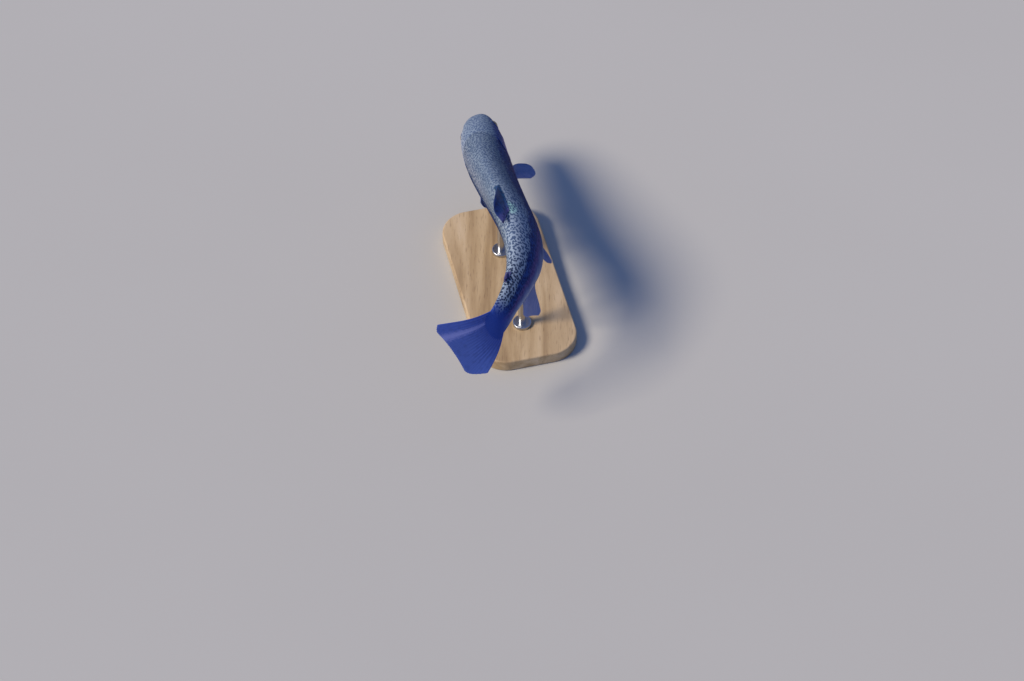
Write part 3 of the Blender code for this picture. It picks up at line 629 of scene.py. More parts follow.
# %% One function for the fish's colours
def markings(tree):
    """Adds the nodes of the fish's colours. Returns the colour and the flat millimetres."""
    place = add(tree, "Attribute", attribute_name="skin_mm", out="Vector")
    share = add(tree, "Attribute", attribute_name="fish_share", out="Vector")
    station, rise, fold_shade_amount = add(tree, "SeparateXYZ", {0: share}, out=None)
    along, across, _ = add(tree, "SeparateXYZ", {0: place}, out=None)

    # Side colours by height. Noise lets the borders wander a little. On head and shoulders painted
    # shade brings the blue higher up on the right, the side turned from the light, and painted
    # light takes it lower on the left.
    wander = add(tree, "TexNoise", {"Vector": place, "Scale": 0.08, "Detail": 5.0})
    drift = add(tree, "MapRange", {0: wander, 3: -0.14, 4: 0.14}, **EASED)
    level = add(tree, "Math", {0: rise, 1: drift}, operation="ADD")
    lift = add(tree, "MapRange", {0: station, 1: 0.62, 2: 0.72, 4: 0.08}, **EASED)
    level = add(tree, "Math", {0: level, 1: lift}, operation="ADD")
    front = (station, 0.56, 0.36)
    in_front = add(tree, "MapRange", dict(enumerate(front)), **EASED)
    turned = add(tree, "MapRange", {0: across, 1: -26.0, 2: 12.0, 3: -0.13, 4: 0.10}, **EASED)
    turned = add(tree, "Math", {0: turned, 1: in_front}, operation="MULTIPLY")
    level = add(tree, "Math", {0: level, 1: turned}, operation="ADD")
    shade_at = add(tree, "MapRange", {0: level, 1: -1.0, 2: 1.0})
    ground = add(tree, "ValToRGB", {0: shade_at}, stops=SIDE_COLOURS)

    # The back is more silvery on the rear. On the left of head and shoulders, the side that faces
    # the lamp, it is paler with painted light.
    back, rear = (level, BACK_LINE - 0.06, BACK_LINE + 0.08), (station, 0.42, 0.60)
    left = (across, 6.0, 30.0)
    ground = overlay(tree, ground, REAR_SILVER, 0.75, back, rear, **EASED)
    ground = overlay(tree, ground, LEFT_PAINTED_LIGHT, 0.7, back, front, left, **EASED)

    # Jaws and cheeks are silver, and the cheeks pinker, from the blood under their thin skin.
    jaws = (station, 0.20, 0.14), (rise, 0.10, -0.35)
    ground = overlay(tree, ground, JAW_SILVER, 0.7, *jaws, **EASED)
    cheek = (station, 0.09, 0.14), (station, 0.22, 0.19), (rise, 0.30, -0.05), (rise, -0.85, -0.5)
    ground = overlay(tree, ground, CHEEK_BLUSH, 0.6, *cheek, **EASED)

    # The lateral line: a row of pores at mid height, one on each scale.
    height = add(tree, "MapRange", {0: station, 1: 0.20, 2: 0.75, 3: 0.14, 4: 0.0}, **EASED)
    off_line = add(tree, "Math", {0: rise, 1: height}, operation="SUBTRACT")
    off_line = add(tree, "Math", {0: off_line}, operation="ABSOLUTE")
    beat = add(tree, "Math", {0: along, 1: 2 * math.pi / PORE_PITCH}, operation="MULTIPLY")
    beat = add(tree, "Math", {0: beat}, operation="SINE")
    line = (beat, -0.6, 0.4), (station, 0.205, 0.215), (off_line, 0.022, 0.008)
    ground = overlay(tree, ground, LINE_DARK, 0.40, *line, **EASED)

    # A painted glint: a pale green highlight on the back, on the right of the dorsal fin.
    apart = add(tree, "VectorMath", {0: place, 1: PAINTED_GLINT_AT}, out="Value", operation="DISTANCE")
    ground = overlay(tree, ground, PAINTED_GLINT_GREEN, 0.85, (apart, 12.0, 2.0), **EASED)

    # Dark marks, finer and fainter on head and shoulders than on the rear.
    patchy = add(tree, "TexNoise", {"Vector": place, "Scale": 0.05, "Detail": 1.0})
    patchy = add(tree, "MapRange", {0: patchy, 1: 0.3, 2: 0.7, 3: -0.05, 4: 0.05}, **EASED)
    layers = []
    for spacing, raggedness, limit in MARKS:
        grid = {"Vector": place, "Scale": 1 / spacing}
        cells = add(tree, "TexVoronoi", grid, voronoi_dimensions="2D")
        grid = {"Vector": place, "Scale": 1.5 / spacing, "Detail": 1.5}
        worms = add(tree, "TexNoise", grid, noise_dimensions="2D")
        field = {0: worms, 1: raggedness, 2: cells}
        field = add(tree, "Math", field, operation="MULTIPLY_ADD")
        field = add(tree, "Math", {0: field, 1: patchy}, operation="SUBTRACT")
        edges = {0: field, 1: limit + 0.05, 2: limit - 0.07}
        layers.append(add(tree, "MapRange", edges, **EASED))
    rearward = add(tree, "MapRange", {0: station, 1: 0.28, 2: 0.52}, **EASED)
    marks = add(tree, "Mix", {0: rearward, 2: layers[0], 3: layers[1]})
    strength = {0: station, 1: 0.45, 2: 0.72, 3: 0.83, 4: 0.93}
    strength = add(tree, "MapRange", strength, **EASED)
    marks = add(tree, "Math", {0: marks, 1: strength}, operation="MULTIPLY")
    dark = overlay(tree, FRONT_MARK, REAR_MARK, 1.0, (station, 0.60, 0.76), **EASED)
    dark = overlay(tree, SIDE_MARK, dark, 1.0, back, **EASED)
    marked = overlay(tree, ground, dark, marks, (level, -0.45, 0.20), **EASED)

    # The root of the tail turns the deep blue of its fin, which is partly painted shade of the
    # stalk's side turned from the light, and folds get painted shade.
    marked = overlay(tree, marked, TAIL_BLUE, 1.0, (station, 0.800, 0.862), **EASED)
    # Painted shade darkens the skin in its folds.
    marked = add(tree, "Mix", {0: fold_shade_amount, MIX_A: marked, MIX_B: PAINTED_FOLD_SHADE}, **OF_COLOURS)
    return marked, place


# %% [markdown]
# ## Skin
#
# Fish skin is a thin wet hide with slime over it. On a cast it is painted and varnished: IOR
# 1.38 as for wet tissue, and a satin roughness near 0.5. Gloss is kept to a trace, in a thin
# coat, because a pale floor shines back from a glossy flank at a low angle and washes out the
# dark paint. Pores are about 0.6 mm apart, which is too fine to show, so the bump draws them
# at about 1.2 mm.

# %% The skin's material
varnished_hide, tree, shader = new_material(
    "varnished_trout_hide", IOR=1.38, Specular_IOR_Level=0.02, Coat_Weight=0.04,
    Coat_Roughness=0.18,
)
painted, place = markings(tree)
tree.links.new(painted, shader.inputs["Base Color"])
skin_pores = add(tree, "TexNoise", {"Vector": place, "Scale": 0.85, "Detail": 3.0})
pitted = add(tree, "Bump", {"Strength": 0.35, "Distance": 0.0002, "Height": skin_pores})
tree.links.new(pitted, shader.inputs["Normal"])
satin = add(tree, "MapRange", {0: skin_pores, 3: 0.42, 4: 0.58})
tree.links.new(satin, shader.inputs["Roughness"])
print("skin's material has", len(tree.nodes), "nodes")

# %% The skin's mesh
rings = len(STATIONS)
row, column = np.meshgrid(np.arange(rings - 1), np.arange(AROUND), indexing="ij")
row, column, after = row.ravel(), column.ravel(), (column.ravel() + 1) % AROUND
quads = np.stack([
    row * AROUND + column, row * AROUND + after,
    (row + 1) * AROUND + after, (row + 1) * AROUND + column,
], axis=1)
tip, last = rings * AROUND, (rings - 1) * AROUND
nose = [(tip, (k + 1) % AROUND, k) for k in range(AROUND)]
# The last ring is flat, so its right half is joined point by point to its left half.
pairs = [(k, k + 1, AROUND - k - 1) for k in range(AROUND // 2 - 1)]
pairs += [(k, AROUND - k - 1, AROUND - k) for k in range(1, AROUND // 2)]
pairs = np.array(pairs)
straight = np.vstack([SKIN.reshape(-1, 3), [(SKIN_DEPTH, 0, 0)]])
shares = np.vstack([SHARE.reshape(-1, 3), [(0, 0, 0)]])
flat = np.vstack([FLAT.reshape(-1, 3), [(0, 0, 0)]])
skin = mesh_object(
    "trout_skin", lay(straight), quads.tolist() + nose + (last + pairs).tolist(), varnished_hide,
    skin_mm=flat, fish_share=shares,
)
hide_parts("head", "lower_jaw", "gill_cover_left", "gill_cover_right", "trunk", "tail_stalk")


# %% The skin's unwrap: a sleeve cut open under the belly
def sleeve(around, station):
    """A place on the sleeve's unwrap, with a margin of 2 percent."""
    around, station = np.broadcast_arrays(around, station)
    return np.stack([0.02 + 0.96 * around, 0.02 + 0.96 * station / TAIL_FLESH_END], axis=-1)


corners = np.stack([column, column + 1, column + 1, column], axis=1) / AROUND
levels = STATIONS[np.stack([row, row, row + 1, row + 1], axis=1)]
k = np.arange(AROUND)
nose_uv = sleeve(np.stack([k + 0.5, k + 1, k], axis=1) / AROUND, np.array([0, 1, 1]) * STATIONS[0])
pairs_uv = sleeve(pairs / AROUND, TAIL_FLESH_END)
unwrap = skin.data.uv_layers.new(name="OFBake")
unwrap.data.foreach_set("uv", np.concatenate([
    sleeve(corners, levels).ravel(), nose_uv.ravel(), pairs_uv.ravel(),
]).astype(np.float32))
print("unwrap corners", len(unwrap.data))

# %% [markdown]
# ## Scales
#
# A trout has some 120 to 150 small scales along its side. They start behind the gill covers
# and the nape, overlap like roof tiles towards the tail, and get smaller on the stalk. Each
# is a thin domed plate: its front is sunk in the skin and its free edge is lifted. A particle
# system could strew them, but a quincunx worked out on the skin's own net keeps the rows
# neat, and the plates stay real mesh. As every second row is in line, about half the number
# of rows is what a scale count along the side would give.

# %% Rows of scales over the skin's net
SCALES_AROUND = 124
ROW_PITCH = 0.98  # length of a row for each width of a scale
SCALES_FROM, SCALES_TO = 0.120, 0.893
# Where scales begin: degrees from the side, and the station.
SCALE_LINE = np.array((
    (-90, 0.135), (-60, 0.168), (-34, 0.204), (-6, 0.217), (17, 0.207), (30, 0.186),
    (60, 0.170), (90, 0.160),
))

girth = np.linalg.norm(np.roll(SKIN, -1, axis=1) - SKIN, axis=-1).sum(1)
fine = np.linspace(SCALES_FROM, SCALES_TO, 2000)
pitch = np.interp(fine, STATIONS, girth) / SCALES_AROUND
rows_a_step = (fine[1] - fine[0]) * LENGTH / (pitch[1:] * ROW_PITCH)
count = np.concatenate([[0], np.cumsum(rows_a_step)])
row_stations = np.interp(np.arange(int(count[-1])), count, fine)
row_id, place_id = np.indices((len(row_stations), SCALES_AROUND))
root_station = row_stations[row_id].ravel()
root_around = ((place_id + 0.5 * (row_id % 2)) / SCALES_AROUND).ravel() % 1.0


def on_skin(grid, station, around):
    """Values of a net of rings at any station and share of the way round."""
    i = np.interp(station, STATIONS, np.arange(len(STATIONS)))
    j = (around % 1.0) * AROUND
    i0 = np.clip(np.floor(i).astype(int), 0, len(STATIONS) - 2)
    j0 = np.floor(j).astype(int) % AROUND
    fi, fj = (i - i0)[..., None], (j - np.floor(j))[..., None]
    j1 = (j0 + 1) % AROUND
    near = grid[i0, j0] * (1 - fj) + grid[i0, j1] * fj
    far = grid[i0 + 1, j0] * (1 - fj) + grid[i0 + 1, j1] * fj
    return near * (1 - fi) + far * fi


side_angle = on_skin(from_side[..., None], root_station, root_around)[:, 0]
kept = root_station > curve(SCALE_LINE[:, 0], SCALE_LINE[:, 1], side_angle)
root_station, root_around = root_station[kept], root_around[kept]
print("scales:", len(root_station), "in", len(row_stations), "rows")

# %% [markdown]
# One scale is a ring of ten points, a raised middle and a sunken one under it. Its free edge
# ends in a shallow arc. Sizes are in widths and lengths of a row, and the lift in shares of
# the scale's width, so small scales stay flat.

# %% The shape of one scale
RIM = 10
HALF_LONG, HALF_WIDE, FORWARD = 1.02, 0.60, 0.20
turns = 2 * np.pi * np.arange(RIM) / RIM
rearward = np.cos(turns)
template_along = np.concatenate([FORWARD + HALF_LONG * rearward, [0.45, -0.2]])
template_across = np.concatenate([HALF_WIDE * np.sin(turns), [0, 0]])
template_lift = np.concatenate([-0.010 + 0.105 * rearward, [0.100, -0.20]])
# How much painted shade each point of a scale gets: most at its free edge.
template_edge_shade = np.concatenate([np.clip(rearward, 0, 1) ** 2, [0.1, 0.0]])

k = np.arange(RIM)
over = np.stack([np.full(RIM, RIM), (k + 1) % RIM, k], axis=1)
under = np.stack([np.full(RIM, RIM + 1), k, (k + 1) % RIM], axis=1)
SCALE_FACES = np.vstack([over, under])
print("one scale has", len(SCALE_FACES), "faces")

# %% [markdown]
# All copies are worked out together as one array. No two scales of a fish are quite alike, so
# each gets a slight shift, lift and tone of its own, from a seeded generator that gives the
# same fish every time.

# %% All the scales at once
SHIFT = 0.03  # of a scale's width
LEAST_LIFT, MOST_LIFT = 0.85, 1.1
SMALLER_ON_STALK = 0.35

rng = np.random.default_rng(12)
grown = 1 - SMALLER_ON_STALK * smooth(0.86, SCALES_TO, root_station)
scale_width = grown * np.interp(root_station, STATIONS, girth) / SCALES_AROUND
shifted = root_around + rng.normal(0, SHIFT, len(root_station)) / SCALES_AROUND
long = template_along * ROW_PITCH * scale_width[:, None] / LENGTH
wide = template_across * grown[:, None] / SCALES_AROUND
station = np.minimum(root_station[:, None] + long, TAIL_FLESH_END)
around = shifted[:, None] + wide
lifted = scale_width * rng.uniform(LEAST_LIFT, MOST_LIFT, len(root_station))
outward = on_skin(grid_normals(SKIN), station, around)
scale_points = on_skin(SKIN, station, around)
scale_points += outward * (template_lift * lifted[:, None])[..., None]
scale_share = on_skin(SHARE, station, around)
scale_share[..., 2] = 0.0  # a scale lies in no fold
scale_flat = on_skin(FLAT, station, around)
tone = np.repeat(rng.uniform(0, 1, len(root_station))[:, None], RIM + 2, axis=1)
edges = np.broadcast_to(template_edge_shade, tone.shape)
widest = float(scale_width.max()) / MM
print("widest scale", round(widest * 2 * HALF_WIDE, 1), "mm")

# %% [markdown]
# ## The scales' finish
#
# A scale is a clear horny plate over silvery crystals, so it shows the colour under it, and
# the cast's varnish gives it the skin's own low gloss. It takes the markings, its edge gets a
# little painted shade where it lies over the next one, and its tone differs slightly from its
# neighbours'. The growth rings are finer than can show, so a fine bump stands for them.

# %% The scales' material
scale_horn, tree, shader = new_material(
    "varnished_scale_horn", Roughness=0.50, IOR=1.38, Specular_IOR_Level=0.02,
    Coat_Weight=0.03, Coat_Roughness=0.18,
)
painted, place = markings(tree)
# Painted shade darkens each scale's free edge; each scale's tone also differs at random.
painted_rim_shade = add(tree, "Attribute", attribute_name="scale_edge", out="Fac")
own_tone = add(tree, "Attribute", attribute_name="scale_tone", out="Fac")
lightness = add(tree, "MapRange", {0: own_tone, 3: 0.91, 4: 1.09})
darker = add(tree, "MapRange", {0: painted_rim_shade, 3: 1.0, 4: 0.76})
level = add(tree, "Math", {0: lightness, 1: darker}, operation="MULTIPLY")
toned = add(tree, "VectorMath", {0: painted, "Scale": level}, operation="SCALE")
tree.links.new(toned, shader.inputs["Base Color"])
growth = add(tree, "TexNoise", {"Vector": place, "Scale": 1.4, "Detail": 2.0})
ringed = add(tree, "Bump", {"Strength": 0.25, "Distance": 0.0001, "Height": growth})
tree.links.new(ringed, shader.inputs["Normal"])
print("scales' material has", len(tree.nodes), "nodes")

# %% The four fields of scales
MIDDLE_STATION = np.median(root_station)  # as many scales ahead of it as behind
PATCH = 0.003  # each scale's patch on the skin's unwrap
on_right = (root_around > 0) & (root_around < 0.5)
ahead = root_station < MIDDLE_STATION
FIELDS = {
    "scales_right_front": on_right & ahead, "scales_right_rear": on_right & ~ahead,
    "scales_left_front": ~on_right & ahead, "scales_left_rear": ~on_right & ~ahead,
}
patch_across = template_across / (2 * HALF_WIDE)
patch_along = (template_along - FORWARD) / (2 * HALF_LONG)
scale_patch = np.stack([patch_across, patch_along], axis=1) * PATCH
scales_total = 0
for name, chosen in FIELDS.items():
    points = scale_points[chosen]
    firsts = (RIM + 2) * np.arange(len(points))
    faces = (SCALE_FACES[None] + firsts[:, None, None]).reshape(-1, 3)
    field = mesh_object(
        name, lay(points), faces.tolist(), scale_horn,
        skin_mm=scale_flat[chosen].reshape(-1, 3), fish_share=scale_share[chosen].reshape(-1, 3),
        scale_edge=edges[chosen].reshape(-1, 1), scale_tone=tone[chosen].reshape(-1, 1),
    )
    patch = sleeve(root_around[chosen], root_station[chosen])[:, None] + scale_patch
    layer = field.data.uv_layers.new(name="OFBake")
    layer.data.foreach_set("uv", patch.reshape(-1, 2)[faces.ravel()].astype(np.float32).ravel())
    scales_total += len(faces)
print("triangles of all scales:", scales_total)

# %% [markdown]
# ## Fins
#
# A fin is a web of skin stretched over jointed rays. The rays start stout and fork towards
# the edge, and the web between them is thinner and ends in shallow scallops. Two separate
# meshes would show gaps, so each fin is one closed plate whose thickness swells on the rays.
# Its foot is thick and runs a little into the body, as flesh does.

# %% Rays, webs and the plate that joins them
POINTS_A_RAY = 8
SINK = -0.07  # where the foot starts inside the body, as a share of the rays' length


def rays_at(u, v, rays):
    """1 on the crest of a ray and 0 on the web. Rays fork as u nears the edge."""
    offset = (v * rays + 0.5) % 1.0 - 0.5
    branch = 0.24 * smooth(0.38, 0.95, u)
    width = 0.17 - 0.07 * smooth(0.3, 0.9, u)
    return np.maximum(hump(offset - branch, width), hump(offset + branch, width))


def fin_object(name, middle, finish, rays, foot, along=44, flare=1.5, web=0.24, stout=1.0):
    """A closed plate over a fin's middle surface. u runs from the foot to the edge and v from
    the first ray to the last, and middle(u, v) gives points and the direction of thickness.
    web, foot and flare are half thicknesses in mm: of the web, of the fleshy foot, and of the
    curve into the body. stout scales how far rays stand out: at 0 there are none."""
    us = np.concatenate([[SINK, SINK / 2], np.linspace(0, 1, along) ** 0.9])
    vs = np.linspace(0, 1, rays * POINTS_A_RAY + 1)
    u, v = np.meshgrid(us, vs, indexing="ij")
    ridge = rays_at(np.maximum(u, 0), v, rays) if stout else 0 * u
    scallop = 1 - 0.016 * stout * (1 - ridge) * smooth(0.8, 1.0, u)
    points, aside = middle(u * scallop, v)

    raised = stout * (0.50 - 0.34 * u) * ridge
    fleshy = (foot - 0.4) * (1 - smooth(0.0, 0.30, u))
    half = web + raised + fleshy + flare * np.exp(-28 * np.maximum(u, 0))
    outline = np.minimum(smooth(-0.002, 0.012, v) * smooth(1.002, 0.99, v), smooth(1.0, 0.97, u))
    half = (0.10 + (half - 0.10) * outline) * MM
    plates = [points + aside * half[..., None], points - aside * half[..., None]]
    straight = np.concatenate([plate.reshape(-1, 3) for plate in plates])

    rows, columns = u.shape
    size = rows * columns
    i, j = np.indices((rows - 1, columns - 1))
    a = (i * columns + j).ravel()
    face = np.stack([a, a + columns, a + columns + 1, a + 1], axis=1)
    # The first plate must face along aside, so where the net runs the other way, the order
    # of its corners is turned.
    du, dv = points[1, 0] - points[0, 0], points[0, 1] - points[0, 0]
    direct = np.dot(np.cross(du, dv), np.broadcast_to(aside, points.shape)[0, 0]) > 0
    top = face if direct else face[:, ::-1]
    bottom = (face[:, ::-1] if direct else face) + size
    loop = [(0, c) for c in range(columns)] + [(r, columns - 1) for r in range(1, rows)]
    loop += [(rows - 1, c) for c in range(columns - 2, -1, -1)]
    loop += [(r, 0) for r in range(rows - 2, 0, -1)]
    ring = np.array([r * columns + c for r, c in loop])
    following = np.roll(ring, -1)
    rim = np.stack([ring, following, following + size, ring + size], axis=1)
    rim = rim if direct else rim[:, ::-1]
    faces = np.vstack([top, bottom, rim])

    crest = ridge * smooth(-0.05, 0.05, u)
    share = np.stack([np.clip(u, 0, 1), v, crest], axis=-1).reshape(-1, 3)
    return mesh_object(
        name, lay(straight), faces.tolist(), finish,
        fish_mm=straight / MM, fin_share=np.vstack([share, share]),
    )


# %% [markdown]
# ## The fins' finish
#
# Fin web is a translucent film. In the cast it is tinted resin with a dull varnish, at a
# roughness of 0.45: dark blue on back and tail and violet grey below, with rays in a paler
# tint and a violet one on the last rays. Rays are jointed every millimetre or two, drawn as
# faint bars. The paint is solid enough that no light has to pass through the fins.

# %% A finish for each kind of fin
JOINT_WAVE = 190.0  # radians from foot to edge, which makes about 30 bars along a ray


def fin_finish(name, root, edge, trailing, ray, spots=0.0, streak=None):
    """Colours from root to edge, on the last rays and on the rays' crests. spots is how dark
    the blotches are, streak a colour and the share of the fan's height where it lies."""
    made, tree, shader = new_material(
        name, Roughness=0.45, IOR=1.42, Specular_IOR_Level=0.25, Coat_Weight=0.04,
        Coat_Roughness=0.25,
    )
    place = add(tree, "Attribute", attribute_name="fish_mm", out="Vector")
    share = add(tree, "Attribute", attribute_name="fin_share", out="Vector")
    u, v, ridge = add(tree, "SeparateXYZ", {0: share}, out=None)

    # From the root's colour to the edge's, then to that of the last rays, both unevenly.
    drift = add(tree, "TexNoise", {"Vector": place, "Scale": 0.14, "Detail": 3.0})
    drift = add(tree, "MapRange", {0: drift, 3: -0.25, 4: 0.25})
    outward, rearward = [add(tree, "Math", {0: way, 1: drift}, operation="ADD") for way in (u, v)]
    tint = overlay(tree, root, edge, 1.0, (outward, 0.05, 0.75))
    tint = overlay(tree, tint, trailing, 1.0, (rearward, 0.55, 0.95))

    # Rays with their joints.
    bars = add(tree, "Math", {0: u, 1: JOINT_WAVE}, operation="MULTIPLY")
    bars = add(tree, "Math", {0: bars}, operation="SINE")
    bars = add(tree, "MapRange", {0: bars, 1: -1.0, 3: 0.40, 4: 0.65})
    on_ray = add(tree, "Math", {0: ridge, 1: bars}, operation="MULTIPLY")
    tint = add(tree, "Mix", {0: on_ray, MIX_A: tint, MIX_B: ray}, **OF_COLOURS)

    # Dark blotches, about 5 mm apart.
    cells = add(tree, "TexVoronoi", {"Vector": place, "Scale": 0.22})
    tint = overlay(tree, tint, "#0f1731", spots, (cells, 0.46, 0.30))

    # A ragged streak along the rays that widens to the edge.
    if streak:
        hex_code, height = streak
        off = add(tree, "Math", {0: v, 1: height}, operation="SUBTRACT")
        off = add(tree, "Math", {0: off}, operation="ABSOLUTE")
        wide = add(tree, "MapRange", {0: u, 3: 0.050, 4: 0.120})
        ragged = add(tree, "TexNoise", {"Vector": place, "Scale": 0.8, "Detail": 3.0})
        ragged = add(tree, "MapRange", {0: ragged, 1: 0.3, 2: 0.7, 3: 0.5, 4: 1.3})
        wide = add(tree, "Math", {0: wide, 1: ragged}, operation="MULTIPLY")
        off = add(tree, "Math", {0: off, 1: wide}, operation="DIVIDE")
        tint = overlay(tree, tint, hex_code, 0.75, (off, 1.0, 0.2))
    tree.links.new(tint, shader.inputs["Base Color"])

    film = add(tree, "TexNoise", {"Vector": place, "Scale": 1.0, "Detail": 3.0})
    film = add(tree, "Bump", {"Strength": 0.3, "Distance": 0.0001, "Height": film})
    tree.links.new(film, shader.inputs["Normal"])
    print(name, "has", len(tree.nodes), "nodes")
    return made


dorsal_resin = fin_finish(
    "tinted_resin_dorsal", "#1b4a6b", "#172856", "#54507f", "#213a74", spots=0.5,
)
tail_resin = fin_finish(
    "tinted_resin_tail", TAIL_BLUE, "#40589f", "#3a52a2", "#4d61ab", spots=0.12,
    streak=("#7f88c6", 0.76),
)
pectoral_resin = fin_finish(
    "tinted_resin_pectoral", "#4b5f8c", "#667399", "#8a86a4", "#7586ad", spots=0.1,
)
lower_resin = fin_finish("tinted_resin_lower", "#6c7398", "#8886a4", "#9c9ab4", "#a7a9c0")
adipose_resin = fin_finish(
    "tinted_resin_adipose", "#4a4c72", "#322e58", "#38335c", "#4a4c72", spots=0.3,
)


# %% Fins on the middle line: dorsal, adipose and anal
# First and last station, length and rake of the first and last ray, and the tip's lean.
DORSAL = (0.455, 0.556, ((0.105, 68), (0.058, 76)), -0.026)
ADIPOSE = (0.732, 0.754, ((0.032, 66), (0.018, 74)), 0.006)
ANAL = (0.655, 0.738, ((0.086, 42), (0.046, 57)), 0.010)


def median_middle(first, last, rays, lean, above):
    """The middle surface of a fin on the back or belly. rays has the length (share of LENGTH)
    and rake (degrees back from upright) of its first and last ray."""
    (first_length, first_rake), (last_length, last_rake) = rays
    way = 1 if above else -1

    def middle(u, v):
        station = first + (last - first) * v
        root_z = way * (body(BACK if above else BELLY, station) * LENGTH)
        reach = first_length + (last_length - first_length) * v**0.8
        u0 = np.maximum(u, 0)
        reach = reach * (1 - 0.16 * np.maximum(0, 1 - v / 0.16) ** 2 * u0)
        reach = reach * (1 - 0.22 * np.maximum(0, (v - 0.8) / 0.2) ** 2 * u0)
        rake = np.radians(first_rake + (last_rake - first_rake) * v + 9 * u0**2)
        bend = lean * LENGTH * (reach / first_length) * u0**1.7
        wave = 0.0012 * np.sin(7 * v + 2) * u0**2
        x = station * LENGTH + np.sin(rake) * reach * LENGTH * u
        z = root_z + way * np.cos(rake) * reach * LENGTH * u
        return np.stack([x, bend + wave, z], axis=-1), np.array((0.0, 1.0, 0.0))

    return middle


dorsal = fin_object(
    "dorsal_fin_web", median_middle(*DORSAL, above=True),
    dorsal_resin, rays=12, foot=1.3,
)
adipose = fin_object(
    "adipose_fin_lobe", median_middle(*ADIPOSE, above=True),
    adipose_resin, rays=2, foot=1.2, along=24, web=0.75, stout=0.0,
)
anal = fin_object(
    "anal_fin_web", median_middle(*ANAL, above=False),
    lower_resin, rays=11, foot=1.2,
)
for fin, node_name, slot_name in (
    (dorsal, "dorsal_fin", "fin_membrane"), (adipose, "adipose_fin", "fin_membrane"),
    (anal, "anal_fin", "lower_fin_membrane"),
):
    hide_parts(node_name)


# %% Tail fin
def tail_surface(u, v):
    return tail_middle(u * 0.995, 2 * v - 1), np.array((0.0, 1.0, 0.0))


tail_fin = fin_object(
    "tail_fin_web", tail_surface, tail_resin, rays=19, foot=0.9, along=56, flare=0.3, stout=0.55,
)
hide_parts("caudal_fin")


# %% Paired fins: pectorals behind the gill covers, pelvics under the belly
def paired_middle(side, roots, rays, lift, bow):
    """The middle surface of a fin on one side. roots are the station and section angle of its
    first and last ray, rays their length and direction on the right side."""
    (first_station, first_angle), (last_station, last_angle) = roots
    (first_length, first_way), (last_length, last_way) = rays
    first_way = np.array(first_way) / np.linalg.norm(first_way)
    last_way = np.array(last_way) / np.linalg.norm(last_way)
    normal = np.cross(first_way, last_way)
    normal /= np.linalg.norm(normal)
    leading = (first_way - last_way) / np.linalg.norm(first_way - last_way)
    mirror = np.array((1.0, side, 1.0))

    def middle(u, v):
        station = first_station + (last_station - first_station) * v
        angle = np.radians(first_angle + (last_angle - first_angle) * v)
        foot = on_section(station, angle)
        outward = np.stack([0 * angle, np.cos(angle), np.sin(angle)], axis=-1)
        reach = first_length + (last_length - first_length) * v**0.9
        first_cut = 0.15 * np.maximum(0, 1 - v / 0.3) ** 2
        last_cut = 0.26 * np.maximum(0, 1 - (1 - v) / 0.45) ** 2
        reach = reach * (1 - first_cut - last_cut)
        way = first_way + (last_way - first_way) * v[..., None]
        way /= np.linalg.norm(way, axis=-1, keepdims=True)
        u0 = np.maximum(u, 0)
        cupped = normal * (0.07 * u0**2)[..., None]
        bowed = leading * (bow * 4 * u0 * (1 - u0) * (1 - v))[..., None]
        out = (way * u0[..., None] + cupped + bowed) * (reach * LENGTH)[..., None]
        rooted = smooth(0.10, -0.07, u)[..., None]  # 1 where the foot has gone into the body
        stand_off = lift * (1 - rooted) - 0.0016 * rooted
        return (foot + outward * stand_off + out) * mirror, normal * mirror

    return middle


BRAKING = ((0.102, (-0.74, 0.45, -0.50)), (0.081, (-0.32, 0.75, -0.57)))
FOLDED = ((0.098, (0.98, 0.10, 0.14)), (0.060, (0.97, 0.06, -0.20)))
TRAILING = ((0.078, (0.90, 0.22, -0.36)), (0.046, (0.97, 0.06, -0.20)))
BRAKING_BOW = 0.18  # how far the braking fin's leading edge bows forward, a share of its rays
PECTORAL_ROOTS = ((0.200, -42), (0.216, -56))
PELVIC_ROOTS = ((0.470, -66), (0.494, -73))
# Node, side, first and last rays, how far the foot stands off the body (m), bow and flare.
PAIRED = (
    ("pectoral_fin_right", 1, BRAKING, 0.0006, BRAKING_BOW, 1.2),
    ("pectoral_fin_left", -1, FOLDED, 0.0024, 0.0, 0.3),
    ("pelvic_fin_right", 1, TRAILING, 0.0020, 0.0, 0.3),
    ("pelvic_fin_left", -1, TRAILING, 0.0020, 0.0, 0.3),
)
for node_name, side, rays, lift, bow, flare in PAIRED:
    pelvic = "pelvic" in node_name
    surface = paired_middle(side, PELVIC_ROOTS if pelvic else PECTORAL_ROOTS, rays, lift, bow)
    fin = fin_object(
        node_name + "_web", surface, lower_resin if pelvic else pectoral_resin,
        rays=9 if pelvic else 13, foot=1.2, flare=flare,
    )
    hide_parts(node_name)

# %% [markdown]
# ## Eyes
#
# A trout's eye is set flush in the head and can't close. The round lens bulges through the
# pupil, the pupil has a small point towards the snout, and the iris is brassy silver, darker
# on top. In a cast the eye is a glass one: a painted back under a clear dome. One turned form
# with a clear coat gives that look from every side and keeps its colours in the mesh.

# %% The eyes' material
glass_eye, tree, shader = new_material(
    "glass_eye_painted_back", Roughness=0.30, Specular_IOR_Level=0.0, Coat_Weight=1.0,
    Coat_Roughness=0.03,
)
facts = add(tree, "Attribute", attribute_name="eye_share", out="Vector")
from_pupil, top, _ = add(tree, "SeparateXYZ", {0: facts}, out=None)
fleck = add(tree, "TexNoise", {"Vector": facts, "Scale": 9.0, "Detail": 4.0})
iris = add(tree, "Mix", {0: fleck, MIX_A: "#6a6450", MIX_B: "#c2b183"}, **OF_COLOURS)
